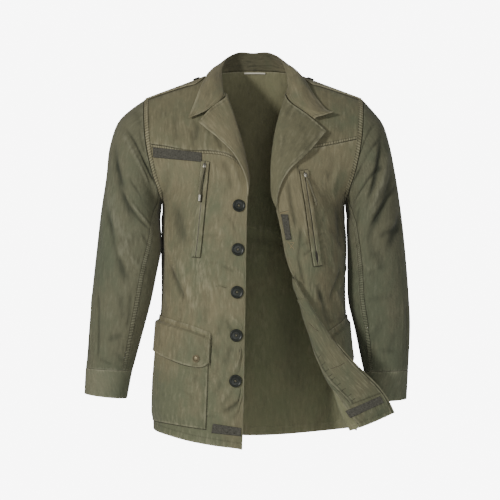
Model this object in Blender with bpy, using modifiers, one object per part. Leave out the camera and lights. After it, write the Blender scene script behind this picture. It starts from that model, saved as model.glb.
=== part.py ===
"""Field jacket worn open on a form: a cotton shell sewn from panels, with its fastenings.

The frame is +Z up, the front faces -Y, and the wearer's left is +X. The tables are in
millimetres. A panel has its own flat co-ordinates: u runs across it from the side seam
(from the centre line on the back) and v runs down it from the shoulder seam.
"""
import math

import bmesh
import bpy
import numpy as np
from mathutils import Matrix

for thing in list(bpy.data.objects):
    bpy.data.objects.remove(thing, do_unlink=True)

MM = 0.001
CLOTH = 1.2            # thickness of one layer of cloth
GAP = 0.3              # room left between two pieces at a seam
LAYER = CLOTH + GAP    # from the middle of one layer to the middle of the next


# ---------------------------------------------------------------- curves and surfaces
def weights(knots, t):
    """Matrix that turns values at the knots into values at t.

    Between two knots the curve is a cubic, and its slope at a knot is the slope of the
    parabola through that knot and its two neighbours.
    """
    k = np.asarray(knots, float)
    t = np.atleast_1d(np.asarray(t, float))
    n = len(k)
    step = np.diff(k)
    rise = np.diff(np.eye(n), axis=0) / step[:, None]
    slope = np.zeros((n, n))
    if n == 2:
        slope[:] = rise[0]
    else:
        share = (step[1:] / (step[:-1] + step[1:]))[:, None]
        slope[1:-1] = rise[:-1] * share + rise[1:] * (1.0 - share)
        slope[0] = 1.5 * rise[0] - 0.5 * slope[1]
        slope[-1] = 1.5 * rise[-1] - 0.5 * slope[-2]
    i = np.clip(np.searchsorted(k, t, side="right") - 1, 0, n - 2)
    h = step[i]
    s = (t - k[i]) / h
    out = np.zeros((len(t), n))
    rows = np.arange(len(t))
    out[rows, i] += 1.0 - 3.0 * s ** 2 + 2.0 * s ** 3
    out[rows, i + 1] += 3.0 * s ** 2 - 2.0 * s ** 3
    out += (h * (s - 2.0 * s ** 2 + s ** 3))[:, None] * slope[i]
    out += (h * (s ** 3 - s ** 2))[:, None] * slope[i + 1]
    return out


def blend(knots, values, t):
    """Values between the knots, by the same cubics."""
    return weights(knots, t) @ np.asarray(values, float)


def soft(x):
    """A rise from 0 to 1 that starts and ends level."""
    x = np.clip(x, 0.0, 1.0)
    return x * x * (3.0 - 2.0 * x)


class Sheet:
    """A cloth surface through sections, a section for each level v.

    Each section is a curve through its own stations u. The point at (u, v) is the blend
    over v of the points that the sections have at u. Folds push it along its normal.
    """

    def __init__(self, sections, side=1.0, folds=()):
        self.levels = [row[0] for row in sections]
        self.sections = [(row[1], np.asarray(row[2], float)) for row in sections]
        self.side = side
        self.folds = folds

    def plain(self, u, v):
        share = weights(self.levels, v)
        out = np.zeros((len(u), 3))
        for column, (stations, points) in enumerate(self.sections):
            out += share[:, column:column + 1] * blend(stations, points, u)
        return out

    def normal(self, u, v):
        along = self.plain(u + 0.5, v) - self.plain(u - 0.5, v)
        down = self.plain(u, v + 0.5) - self.plain(u, v - 0.5)
        n = np.cross(along, down) * self.side
        return n / np.maximum(np.linalg.norm(n, axis=1), 1e-9)[:, None]

    def relief(self, u, v):
        """Height of the folds: each is a soft bump along a straight line in (u, v)."""
        out = np.zeros(len(u))
        for u0, v0, u1, v1, width, height in self.folds:
            du, dv = u1 - u0, v1 - v0
            length = math.hypot(du, dv)
            t = ((u - u0) * du + (v - v0) * dv) / length ** 2
            far = ((u - u0) * dv - (v - v0) * du) / length
            end = soft(t / 0.4) * soft((1.0 - t) / 0.4)
            out += height * end * np.exp(-(far / width) ** 2)
        return out

    def at(self, u, v, out=0.0):
        """Points at flat places (u, v), moved out along the normal."""
        u, v = np.broadcast_arrays(np.asarray(u, float), np.asarray(v, float))
        shape = u.shape
        u, v = u.ravel(), v.ravel()
        height = self.relief(u, v) + np.broadcast_to(out, shape).ravel()
        points = self.plain(u, v) + self.normal(u, v) * height[:, None]
        return points.reshape(shape + (3,))


def spread(*stops):
    """Stations along a piece: pairs of a place and how many steps lead up to it."""
    out = [stops[0][0]]
    for (a, _), (b, steps) in zip(stops, stops[1:]):
        out.extend(a + (b - a) * (np.arange(steps) + 1.0) / steps)
    return np.array(out)


def mirrored(points):
    return np.asarray(points, float) * (-1.0, 1.0, 1.0)


# ---------------------------------------------------------------- the body panels
# Stations across a front: side seam, flank, chest, neck point, neckline, roll line,
# middle of the lapel, edge.
ACROSS = (0.0, 45.0, 90.0, 135.0, 175.0, 215.0, 243.0, 270.0)
NAPE = (0.0, 42.0, 84.0, 135.0, 190.0)

# The outer part of both fronts, on the wearer's right: level, then the armhole or side
# seam, flank, chest, neck point and neckline.
OUTER = (
    (0, (-208, 8, -44), (-164, 10, -27), (-120, 10, -10), (-76, 8, 7), (-67, -28, -19)),
    (28, (-207, -19, -48), (-165, -18, -33), (-121, -18, -19), (-79, -19, -10), (-63, -48, -44)),
    (57, (-206, -44, -72), (-165, -43, -59), (-123, -43, -50), (-85, -46, -43), (-59, -66, -68)),
    (115, (-200, -67, -131), (-162, -74, -120), (-121, -79, -111), (-82, -86, -106), (-46, -97, -123)),
    (160, (-189, -70, -180), (-157, -86, -168), (-118, -98, -159), (-78, -107, -157), (-40, -114, -172)),
    (198, (-177, -57, -218), (-149, -87, -208), (-113, -106, -198), (-74, -116, -198), (-38, -121, -213)),
    (251, (-173, 0, -250), (-161, -48, -253), (-131, -88, -254), (-90, -114, -258), (-46, -126, -274)),
    (330, (-174.5, 0, -328), (-164, -48, -328), (-138, -87, -331), (-100, -113, -337), (-58, -127, -353)),
    (420, (-174, 0, -417), (-166, -48, -417), (-141, -87, -420), (-104, -114, -427), (-61, -128, -441)),
    (520, (-181, 0, -513), (-173, -48, -513), (-148, -89, -517), (-109, -117, -525), (-65, -131, -540)),
    (600, (-187, 0, -592), (-179, -49, -593), (-153, -91, -598), (-113, -120, -606), (-69, -132, -616)),
    (672, (-190, 0, -664), (-182, -51, -666), (-157, -94, -670), (-117, -121, -678), (-73, -132, -685)),
)
# Roll line, middle of the lapel and edge of the right front, at the same levels.
INNER_RIGHT = (
    ((-53, -60, -42), (-80, -75, -64), (-102, -83, -90)),
    ((-42, -74, -70), (-65, -88, -85), (-86, -94, -104)),
    ((-32, -86, -99), (-50, -99, -107), (-68, -104, -119)),
    ((-17, -106, -155), (-22, -117, -156), (-32, -124, -158)),
    ((-12, -118, -199), (-10, -125, -200), (-13, -131, -201)),
    ((-18, -123, -237), (-15, -125, -237), (-12, -127, -237)),
    ((-23, -127, -290), (-18, -128, -290), (-13, -129, -290)),
    ((-24, -130, -369), (-19, -131, -369), (-14, -131, -369)),
    ((-26, -131, -458), (-21, -132, -458), (-15.5, -132, -458)),
    ((-28, -133, -556), (-23, -133, -556), (-17.5, -134, -557)),
    ((-30, -133, -628), (-25, -133, -628), (-19, -134, -629)),
    ((-32, -133, -690), (-27, -133, -691), (-21, -134, -692)),
)
# The same for the left front above the waist, where its wider lapel turns back.
INNER_LEFT = (
    ((66, -60, -50), (102, -75, -78), (135, -84, -107)),
    ((55, -74, -74), (89, -91, -99), (119, -98, -127)),
    ((46, -86, -99), (75, -104, -120), (101, -111, -148)),
    ((36, -104, -150), (51, -117, -166), (66, -121, -181)),
    ((34, -112, -184), (42, -121, -196), (50, -125, -209)),
    ((37, -119, -231), (40.5, -122.5, -233), (44, -125, -236)),
)
# The left front is pulled open: how far its neck point and neckline stations move out.
OPENED = {0: (0, 0), 28: (1, 4), 57: (3, 8), 115: (6, 15), 160: (8, 22), 198: (10, 26)}
# The left front below: level, then stations and points as the edge swings out and the
# lower corner turns back outwards about its fold.
LOWER_LEFT = (
    (251, (0, 45, 90, 135, 175, 215, 243, 270),
     ((173, 0, -250), (162, -50, -253), (136, -90, -254), (103, -115, -258), (80, -126, -273),
      (63, -127, -287), (56, -127.5, -289), (50, -128, -291))),
    (330, (0, 45, 90, 135, 175, 215, 243, 270),
     ((174.5, 0, -328), (169, -50, -328), (153, -94, -330), (126, -125, -339), (100, -139, -353),
      (80, -141, -364), (73.5, -142, -366), (68.5, -143, -368))),
    (376, (0, 45, 90, 135, 175, 205, 225, 245, 270),
     ((174, 0, -373), (170, -49, -374), (155, -95, -376), (128, -128, -385), (100, -144, -396),
      (87, -147, -402), (81, -152, -404), (84, -158, -405), (88, -158, -405))),
    (420, (0, 45, 90, 135, 170, 190, 204, 222, 270),
     ((174, 0, -417), (170, -48, -417), (156, -94, -420), (130, -129, -428), (108, -147, -438),
      (98, -151, -443), (94.5, -158, -445), (101, -165, -446), (115, -164, -449))),
    (520, (0, 45, 90, 135, 160, 172, 184, 200, 270),
     ((180, 0, -513), (178, -50, -515), (172, -98, -522), (155, -137, -535), (138, -152, -544),
      (129, -158, -547), (128, -165, -547), (139, -171, -543), (175, -175, -522))),
    (600, (0, 45, 90, 125, 145, 156, 168, 186, 270),
     ((186, 0, -592), (187, -50, -596), (183, -100, -603), (172, -136, -609), (160, -151, -611),
      (153.5, -158, -611), (157, -166, -608), (174, -171, -601), (231, -172, -579))),
    (672, (0, 45, 90, 120, 136, 149, 168, 270),
     ((190, 0, -666), (192, -50, -665), (190, -100, -659), (186, -132, -655), (181, -148, -654),
      (174.5, -156, -655), (187, -163, -650), (255, -163, -621))),
)
# Rows added where the left edge changes over, at the foot of the lapel and above the
# turned-back corner.
TURNS_LEFT = (
    (225, ACROSS, ((71, -124, -243), (50, -124, -256), (46.5, -125.5, -259), (44.5, -127, -262))),
    (352, (0, 45, 90, 135, 175, 205, 225, 245, 270),
     ((100, -142, -373), (83, -144, -383), (77, -147, -386), (76, -153, -387), (80, -156, -388))),
)
# The back from its centre line out to the wearer's right armhole and side seam.
BACK = (
    (0, (0, 66, 19), (-42, 57, 17), (-76, 8, 7), (-142, 10, -18), (-208, 8, -44)),
    (28, (0, 78, -6), (-42, 72, -8), (-84, 38, -6), (-147, 36, -28), (-207, 36, -50)),
    (57, (0, 90, -33), (-42, 86, -35), (-90, 64, -26), (-150, 58, -46), (-206, 56, -70)),
    (115, (0, 108, -90), (-46, 105, -92), (-98, 95, -88), (-152, 82, -102), (-199, 70, -126)),
    (160, (0, 115, -134), (-50, 113, -137), (-101, 105, -143), (-150, 91, -153), (-188, 70, -176)),
    (198, (0, 118, -173), (-51, 117, -175), (-101, 110, -180), (-145, 92, -190), (-177, 56, -215)),
    (251, (0, 119, -226), (-51, 118, -228), (-99, 110, -232), (-143, 84, -240), (-173, 0, -250)),
    (330, (0, 114, -312), (-52, 113, -313), (-98, 106, -316), (-143, 78, -321), (-174.5, 0, -328)),
    (420, (0, 112, -408), (-52, 112, -409), (-98, 105, -411), (-142, 78, -414), (-174, 0, -417)),
    (520, (0, 116, -515), (-53, 115, -515), (-102, 108, -515), (-147, 80, -515), (-181, 0, -513)),
    (600, (0, 119, -604), (-54, 118, -603), (-104, 111, -601), (-151, 82, -598), (-187, 0, -592)),
    (672, (0, 121, -692), (-54, 120, -690), (-106, 113, -685), (-154, 83, -677), (-190, 0, -664)),
)


SHOULDER_END = np.array((-208.0, 8.0, -44.0))
SHOULDER_TOP = np.array((-76.0, 8.0, 7.0))


def shoulder_seam(share):
    """Points along the wearer's right shoulder seam, from the armhole to the neck."""
    share = np.asarray(share, float)[:, None]
    bow = np.sin(math.pi * share) * (0.0, 2.0, 0.0)
    return SHOULDER_END + (SHOULDER_TOP - SHOULDER_END) * share + bow


def with_row(rows, level, stations, inner):
    """Adds a section: the surface as it was at that level, with new points further in."""
    sheet = Sheet(rows)
    points = sheet.plain(np.array(stations, float), np.full(len(stations), float(level)))
    points[-len(inner):] = inner
    row = (level, stations, points)
    return sorted(rows + [row], key=lambda entry: entry[0])


def with_underarm(rows, ends):
    """Adds a section just below the underarm, so that the side seam starts straight."""
    at = next(k for k, row in enumerate(rows) if row[0] == 251)
    level, stations, here = rows[at]
    below = rows[at + 1][2]
    sheet = Sheet(rows)
    points = sheet.plain(np.array(stations, float), np.full(len(stations), level + 7.0))
    for end in ends:
        points[end] = here[end] + (below[end] - here[end]) * 7.0 / (rows[at + 1][0] - level)
    return rows[:at + 1] + [(level + 7.0, stations, points)] + rows[at + 1:]


def front_sections(outer, inner, side, lower=()):
    """Sections of a front: the shared outer points, then the front's own inner ones.

    The first section lies behind the shoulder seam and repeats the back, so that the crest
    is round. The shoulder row has close stations about the neck point, which is a corner.
    """
    rows = []
    for row, rest in zip(outer, inner):
        points = np.array(row[1:], float)
        if side > 0:
            points = mirrored(points)
            points[3:, 0] += OPENED[row[0]]
        rows.append((row[0], ACROSS, np.vstack([points, np.array(rest, float)])))
    behind = 2.0 * rows[0][2] - rows[1][2]
    crest = blend(NAPE, np.array(BACK[1][1:], float), (190.0, 155.0, 120.0, 84.0))
    behind[:4] = crest if side < 0 else mirrored(crest)
    stations = (0.0, 45.0, 90.0, 125.0, 135.0, 143.0, 175.0, 215.0, 243.0, 270.0)
    seam = shoulder_seam(np.array(stations[:5]) / 135.0)
    seam = seam if side < 0 else mirrored(seam)
    neck = rows[0][2][4:]
    turn = seam[-1] + (neck[0] - seam[-1]) * 0.2 + (side * 1.0, -0.5, 1.0)
    rows[0] = (0, stations, np.vstack([seam, turn, neck]))
    rows = with_underarm([(-28, ACROSS, behind)] + rows + list(lower), (0,))
    if side > 0:
        for level, stations, inner in TURNS_LEFT:
            rows = with_row(rows, level, stations, inner)
    return rows


# The largest folds of each panel: from (u, v) to (u, v), half width, height.
FOLDS_RIGHT = (
    (60, 225, 110, 330, 14, -4.0),
    (30, 250, 60, 360, 12, 3.0),
    (120, 300, 160, 420, 16, 3.0),
)
FOLDS_LEFT = (
    (40, 215, 75, 330, 14, -4.0),
    (20, 260, 40, 380, 12, 3.0),
)
FOLDS_BACK = (
    (-150, 240, -90, 400, 18, -4.0),
    (150, 235, 100, 380, 18, -4.0),
    (-60, 380, -40, 640, 20, 3.0),
    (50, 400, 70, 650, 22, 3.0),
)


def back_sections():
    """The back's half table and its mirror, from the wearer's right side to the left."""
    rows = []
    stations = [-u for u in NAPE[:0:-1]] + list(NAPE)
    for row in BACK:
        half = np.array(row[1:], float)
        rows.append((row[0], stations, np.vstack([half[:0:-1], mirrored(half)])))
    ahead = 2.0 * rows[0][2] - rows[1][2]
    crest = blend(ACROSS[:4], np.array(OUTER[1][1:5], float), (0.0, 60.0, 135.0))
    ahead[:3] = crest
    ahead[-3:] = mirrored(crest)[::-1]
    seam = shoulder_seam((0.0, 0.33, 0.66, 0.92, 1.0))
    neck = np.array(((-75.5, 15, 8.5), (-42, 57, 17), (0, 66, 19)), float)
    half = np.vstack([seam, neck])
    places = [-190.0, -155.0, -120.0, -92.5, -84.0, -77.0, -42.0, 0.0]
    rows[0] = (0, places + [-u for u in places[-2::-1]], np.vstack([half, mirrored(half)[-2::-1]]))
    return with_underarm([(-28, stations, ahead)] + rows, (0, -1))


front_right = Sheet(front_sections(OUTER, INNER_RIGHT, -1.0), -1.0, FOLDS_RIGHT)
LOWER_LEFT = [(level, stations, np.array(points, float)) for level, stations, points in LOWER_LEFT]
front_left = Sheet(front_sections(OUTER[:6], INNER_LEFT, 1.0, LOWER_LEFT), 1.0, FOLDS_LEFT)
back = Sheet(back_sections(), 1.0, FOLDS_BACK)

# The yoke seams drop from the armhole to the edge; rows of the fronts bend to follow them.
YOKE = 130.0
YOKE_U = (0, 45, 90, 130, 175, 215, 270)
YOKE_AT = {"right": (113, 129, 145, 149, 143, 141, 140), "left": (103, 122, 139, 146, 147, 147, 147)}


def bent(u, v, side):
    """Level of a front's row v at station u: the row at YOKE lies on the yoke seam."""
    drop = blend(YOKE_U, YOKE_AT[side], np.ravel(u)).reshape(np.shape(u)) - YOKE
    near = np.interp(np.abs(v - YOKE), (0.0, 18.0), (1.0, 0.0))
    apart = 1.1 * np.sign(v - YOKE) * near * np.exp(-((u - 215.0) / 22.0) ** 2)
    return v + apart + drop * np.interp(v, (0.0, YOKE, 330.0), (0.0, 1.0, 0.0))


# ---------------------------------------------------------------- making solids
SLOTS = {
    "olive_cotton": ((0.17, 0.16, 0.10), 0.9, 0.0),
    "olive_cotton_inside": ((0.12, 0.115, 0.075), 0.95, 0.0),
    "hook_tape": ((0.05, 0.045, 0.04), 0.95, 0.0),
    "zip_tape": ((0.13, 0.13, 0.085), 0.9, 0.0),
    "button_plastic": ((0.02, 0.025, 0.018), 0.25, 0.0),
    "brass": ((0.35, 0.29, 0.15), 0.35, 1.0),
    "zip_steel": ((0.55, 0.54, 0.5), 0.35, 1.0),
    "cord": ((0.2, 0.2, 0.15), 0.9, 0.0),
    "label_tape": ((0.7, 0.68, 0.6), 0.9, 0.0),
}
jacket = bpy.data.collections.new("field_jacket")
bpy.context.scene.collection.children.link(jacket)
materials = {}
for slot, (colour, rough, metal) in SLOTS.items():
    made = bpy.data.materials.new(slot)
    made.use_nodes = True
    shader = made.node_tree.nodes["Principled BSDF"]
    shader.inputs["Base Color"].default_value = colour + (1.0,)
    shader.inputs["Roughness"].default_value = rough
    shader.inputs["Metallic"].default_value = metal
    materials[slot] = made


def place(name, slot, points, faces, edges=()):
    """A named object from points in millimetres."""
    mesh = bpy.data.meshes.new(name)
    mesh.from_pydata((np.asarray(points, float) * MM).tolist(), list(edges), faces)
    mesh.update()
    mesh.shade_smooth()
    made = bpy.data.objects.new(name, mesh)
    made.data.materials.append(materials[slot])
    jacket.objects.link(made)
    return made


def cloth(name, slot, points, thick=CLOTH):
    """A piece of cloth: a grid of points, given its thickness about its middle."""
    rows, columns = points.shape[:2]
    first = np.arange(rows * columns).reshape(rows, columns)
    a, b, c, d = first[:-1, :-1], first[1:, :-1], first[1:, 1:], first[:-1, 1:]
    faces = np.stack([a, b, d, b, c, d], axis=-1).reshape(-1, 3).tolist()
    made = place(name, slot, points.reshape(-1, 3), faces)
    wall = made.modifiers.new("wall", "SOLIDIFY")
    wall.thickness = thick * MM
    wall.offset = 0.0
    wall.use_quality_normals = True
    wall.thickness_clamp = 1.0
    return made


def rows_of(sheet, us, vs, out=0.0, follow=None):
    """Points of a sheet on a grid of stations; follow names the side whose yoke seam the rows follow."""
    u, v = np.meshgrid(us, vs)
    if follow is not None:
        v = bent(u, v, follow)
    return sheet.at(u, v, out)


def beside(points, out, side):
    """A grid of points moved out, so that the new layer runs parallel to the first.

    A point moves along the mean of the normals of the faces about it, and further where
    the faces meet at an angle.
    """
    across = points[:-1, 1:] - points[1:, :-1]
    first = np.cross(points[:-1, 1:] - points[:-1, :-1], points[1:, :-1] - points[:-1, :-1]) * side
    second = np.cross(points[1:, 1:] - points[1:, :-1], -across) * side
    faces = []
    for n in (first, second):
        n /= np.maximum(np.linalg.norm(n, axis=2), 1e-9)[:, :, None]
        faces.append(np.pad(n, ((1, 1), (1, 1), (0, 0)), mode="edge"))
    first, second = faces
    about = np.stack([first[1:, 1:], second[:-1, :-1], first[:-1, 1:], second[:-1, 1:],
                      first[1:, :-1], second[1:, :-1]])
    mean = about.mean(axis=0)
    mean /= np.maximum(np.linalg.norm(mean, axis=2), 1e-9)[:, :, None]
    leaning = (about * mean).sum(axis=3).mean(axis=0)
    return points + mean * (out / np.maximum(leaning, 0.55))[:, :, None]


# ---------------------------------------------------------------- body pieces
TRIM = GAP / 2.0 + 0.05
FRONT_U = spread((TRIM, 0), (45, 3), (90, 2), (135, 3), (175, 3), (203, 2), (227, 4), (270 - TRIM, 3))
YOKE_V = spread((TRIM, 0), (57, 3), (YOKE - TRIM, 3))
BODY_V = spread((YOKE + TRIM, 0), (198, 3), (251, 3), (330, 2), (352, 2), (420, 3), (520, 3), (600, 2), (672, 2))
LEFT_U = spread((TRIM, 0), (45, 3), (90, 2), (135, 3), (255, 15), (270 - TRIM, 1))
FRONTS = {"right": (front_right, FRONT_U), "left": (front_left, LEFT_U)}
for side, (sheet, us) in FRONTS.items():
    cloth("yoke_" + side, "olive_cotton", rows_of(sheet, us, YOKE_V, 0.0, side))
    cloth("front_" + side, "olive_cotton", rows_of(sheet, us, BODY_V, 0.0, side))
BACK_U = spread((-190 + TRIM, 0), (-135, 3), (-84, 2), (-42, 1), (42, 3), (84, 1), (135, 2), (190 - TRIM, 3))
BACK_V = spread((TRIM, 0), (57, 3), (115, 2), (198, 3), (251, 2), (330, 2), (420, 2), (520, 2), (600, 2), (672, 1))
cloth("back", "olive_cotton", rows_of(back, BACK_U, BACK_V))

# Facings lie on the inside of the fronts, from the neckline station to the edge; the left
# front also has a strip with the buttonholes, set back from the edge.
FACING_V = np.concatenate([YOKE_V, BODY_V[1:]])
FACING_OUT = {"right": 0.9, "left": 1.0}
AT_TURN = {"right": 0.0, "left": 2.0}
for side, (sheet, us) in FRONTS.items():
    panel = rows_of(sheet, us, FACING_V, 0.0, side)
    loose = LAYER + FACING_OUT[side] * np.exp(-((us - 215.0) / 30.0) ** 2)[None, :]
    loose = loose + AT_TURN[side] * np.exp(-((FACING_V - 362.0) / 32.0) ** 2)[:, None]
    facing = beside(panel, -loose, sheet.side)
    cloth("facing_" + side, "olive_cotton", facing[:, us > 174.9])
behind = (LEFT_U > 185) & (LEFT_U < 262)
below = (FACING_V > 385) & (FACING_V < 605)
slack = -LAYER - 0.3 - np.linspace(0.0, 1.2, len(LEFT_U))[None, :] + 0.0 * facing[:, :, 0]
fly = beside(facing, slack, 1.0)[below][:, behind]
cloth("fly_left", "olive_cotton", fly)


# ---------------------------------------------------------------- sleeves and cuffs
# A row for each ring down a sleeve: how far down, the outer side (x, z), the inner side
# (x, z), and how far it reaches forward and back (y). The first ring is the armhole.
SLEEVE_RIGHT = (
    (28, -236, -63, -177, -262, -72, 80),
    (58, -256, -84, -177, -271, -75, 78),
    (100, -272, -130, -176, -283, -76, 74),
    (150, -279, -190, -174.5, -300, -76, 69),
    (200, -288, -252, -174, -326, -77, 62),
    (262, -296, -325, -182, -368, -78, 52),
    (325, -303.5, -400, -193, -423, -80, 40),
    (385, -309, -468, -208, -480, -81, 26),
    (440, -312.5, -528, -223.5, -537, -82, 13),
    (466, -314.5, -549, -228, -553, -82, 7),
    (520, -317, -596, -238, -605, -82, 4),
)
SLEEVE_LEFT = (
    (28, 228, -65, 177, -262, -72, 80),
    (58, 244, -86, 177, -271, -75, 78),
    (100, 257, -125, 176, -283, -76, 74),
    (150, 268, -180, 176.5, -302, -76, 69),
    (200, 277, -240, 177, -330, -77, 62),
    (262, 285, -312, 177, -372, -78, 52),
    (325, 291.5, -395, 178.5, -423, -80, 40),
    (385, 294.5, -465, 190.5, -474, -81, 26),
    (440, 291.5, -530, 202.5, -532, -82, 13),
    (466, 290, -553, 207.5, -555, -82, 7),
    (520, 287, -606, 211, -610, -82, 4),
)
ROUND = np.arange(-180.0, 376.0, 15.0)
# Folds of the sleeves: (angle, down) to (angle, down), half width, height.
FOLDS_SLEEVE_RIGHT = (
    (30, 75, 105, 190, 9, -5.0),
    (20, 130, 100, 250, 12, 3.5),
    (60, 235, 128, 275, 12, 4.0),
    (-60, 90, -130, 210, 11, -4.5),
    (-40, 330, -120, 300, 14, -4.0),
    (10, 350, 20, 455, 8, -3.0),
)
FOLDS_SLEEVE_LEFT = (
    (35, 55, 110, 145, 9, -5.0),
    (20, 90, 115, 175, 9, 4.0),
    (20, 130, 120, 215, 10, -4.5),
    (15, 205, 80, 265, 12, -4.0),
    (-60, 90, -130, 210, 11, -4.5),
    (-50, 300, -125, 330, 14, -4.0),
)


def armhole(front, side):
    """Points round the armhole: over the top at 0, the front at 90, the underarm at 180."""
    turn = np.mod(ROUND, 360.0)
    fore = turn <= 180.0
    deep = blend((0, 90, 180), (0.0, 132.0, 251.0), np.where(fore, turn, 360.0 - turn))
    on_front = front.plain(np.zeros(len(turn)), deep)
    on_back = back.plain(np.full(len(turn), 190.0 * side), deep)
    points = np.where(fore[:, None], on_front, on_back)
    lift = 0.55 + 1.5 * (1.0 - np.cos(np.radians(turn))) / 2.0
    points[:, 0] += side * lift
    return points


def ring(row, side):
    """Points round a sleeve, from its outer side over the front to its inner side."""
    _, outer_x, outer_z, inner_x, inner_z, fore, aft = row
    turn = np.radians(ROUND)
    reach = np.sign(np.cos(turn)) * np.abs(np.cos(turn)) ** 0.94
    points = np.empty((len(turn), 3))
    points[:, 0] = (outer_x + inner_x) / 2.0 + (outer_x - inner_x) / 2.0 * reach
    # The inner side lies against the front of the flank, so it is further forward.
    ahead = np.interp(row[0], (28, 150, 300, 466), (0.0, 21.0, 21.0, 0.0))
    points[:, 1] = (fore + aft) / 2.0 + (fore - aft) / 2.0 * np.sin(turn) - ahead * ((1.0 - reach) / 2.0) ** np.where(np.sin(turn) < 0.0, 8.0, 2.0)
    points[:, 2] = (outer_z + inner_z) / 2.0 + (outer_z - inner_z) / 2.0 * reach
    return points


def sleeve_sheet(front, table, side, folds):
    sections = [(0.0, ROUND, armhole(front, side))]
    sections += [(row[0], ROUND, ring(row, side)) for row in table]
    return Sheet(sections, side, folds)


sleeve_right = sleeve_sheet(front_right, SLEEVE_RIGHT, -1.0, FOLDS_SLEEVE_RIGHT)
sleeve_left = sleeve_sheet(front_left, SLEEVE_LEFT, 1.0, FOLDS_SLEEVE_LEFT)

# The front seam of a sleeve runs at this angle, the back seam at the other.
FRONT_SEAM = ((0, 120, 300, 466), (152, 140, 128, 136))
BACK_SEAM = ((0, 200, 466), (222, 232, 228))
HAND = 464.0
SLEEVE_V = spread((0, 0), (28, 2), (100, 3), (262, 5), (HAND, 5))
TOP_T = np.linspace(0.0, 1.0, 14)
UNDER_T = np.linspace(0.0, 1.0, 5)


def sleeve_points(sheet, ts, top, out=0.0):
    """Points of the top sleeve, or of the under sleeve, between its two seams."""
    t, v = np.meshgrid(ts, SLEEVE_V)
    fore = blend(*FRONT_SEAM, v.ravel()).reshape(v.shape)
    aft = blend(*BACK_SEAM, v.ravel()).reshape(v.shape)
    if top:
        start, stop = aft - 360.0 + 0.25, fore - 0.25
    else:
        start, stop = fore + 0.25, aft - 0.25
    return sheet.at(start + (stop - start) * t, v, out)


CUFF_V = (HAND + 2.0 * TRIM, 483.0, 502.0, 520.0)
for side, sheet in (("right", sleeve_right), ("left", sleeve_left)):
    cloth("sleeve_top_" + side, "olive_cotton", sleeve_points(sheet, TOP_T, True))
    cloth("sleeve_under_" + side, "olive_cotton", sleeve_points(sheet, UNDER_T, False))
    turn = np.linspace(232.0, 232.0 + 385.0, 23)
    lap = 3.6 * soft((turn - 560.0) / 40.0) - 0.2
    u, v = np.meshgrid(np.mod(turn + 30.0, 360.0) - 30.0, CUFF_V)
    cloth("cuff_" + side, "olive_cotton", sheet.at(u, v, lap[None, :] + 0.0 * u), 1.8)


# ---------------------------------------------------------------- collar
# From the middle of the back round to the end: how far, then the middle of the stand, the
# roll line, the middle of the fall and its edge. The seam edge follows the neckline.
COLLAR_BACK = (
    (0, (0, 72, 37), (0, 68, 54), (0, 86, 33), (0, 97, 2)),
    (42, (-38, 63, 36), (-33, 58, 53), (-51, 74, 33), (-59, 84, 3)),
    (63, (-56, 41, 28), (-50, 38, 42), (-68, 48, 27), (-79, 54, 5)),
    (88, (-66, 9, 18), (-59, 6, 22), (-73, 2, 21), (-86, -4, 9)),
)
COLLAR_RIGHT = (
    (106, (-65, -13, 2.5), (-61, -16, 5), (-77, -23, 6.5), (-93, -26, -7)),
    (125, (-63, -33, -15), (-60, -36, -12), (-80, -44, -9), (-101, -42, -25)),
    (150, (-57, -59, -40), (-61, -63, -39), (-81, -67, -42), (-111, -58, -53)),
    (185, (-88, -77, -67), (-95, -76, -71), (-106, -75, -76), (-122, -74, -82)),
)
COLLAR_LEFT = (
    (106, (68, -13, 1), (64, -17, 3), (82, -23, 6), (98, -25, -8)),
    (125, (67, -33, -16), (66, -37, -14), (87, -43, -11), (110, -38, -30)),
    (150, (71, -59, -44), (75, -62, -44), (97, -63, -47), (129, -54, -57)),
    (195, (118, -77, -80), (126, -76, -78), (135, -75, -75), (148, -72, -70)),
)

# Where the collar's seam runs on the panels: how far round, then the panel's station.
SEAM_BACK = ((0, 63, 88), (0, 58, 84))
SEAM_RIGHT = ((88, 109, 127, 150, 185), (135, 161, 183, 213, 248))
SEAM_LEFT = ((88, 109, 127, 150, 195), (135, 161, 183, 213, 251))


def collar_seam(far):
    """The point of the collar's seam at a distance round from the middle of the back.

    Near the neck point it stands up from the neckline; on the lapel it runs on from it.
    """
    side = np.sign(far)
    if abs(far) < 88.0:
        return back.at(side * blend(*SEAM_BACK, [abs(far)]), [-1.4], 0.0)[0]
    panel, seam = (front_right, SEAM_RIGHT) if far < 0.0 else (front_left, SEAM_LEFT)
    u = blend(*seam, [abs(far)])
    upright = soft((150.0 - abs(far)) / 50.0)
    edge = panel.at(u, [0.0])[0] + (-2.6 * side, 0.4, 2.4)
    return edge * upright + panel.at(u, [-3.4])[0] * (1.0 - upright)


def collar_sheet():
    rows = [(-row[0], row[1:]) for row in (COLLAR_BACK + COLLAR_RIGHT)[::-1]]
    rows += [(row[0], mirrored(row[1:])) for row in COLLAR_BACK[1:]]
    rows += [(row[0], row[1:]) for row in COLLAR_LEFT]
    places = (0, 1, 2, 3, 4)
    return Sheet([(far, places, np.vstack([collar_seam(far), points])) for far, points in rows], -1.0)


collar = collar_sheet()
COLLAR_U = spread((0, 0), (1, 2), (2, 2), (3, 3), (4, 2))
COLLAR_V = spread((-185, 0), (-127, 5), (-109, 1), (-88, 2), (-63, 2), (0, 3), (63, 3), (88, 2), (109, 2), (127, 1), (195, 6))
whole = rows_of(collar, COLLAR_U, COLLAR_V)
seam = np.array([collar_seam(far) for far in COLLAR_V])
# The seam edge follows the neckline closely; the correction dies out towards the roll.
fade = np.maximum(1.0 - COLLAR_U / 2.0, 0.0) ** 1.5
whole += (seam - whole[:, 0])[:, None, :] * fade[None, :, None]
cloth("collar", "olive_cotton", whole, 1.8)


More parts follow.
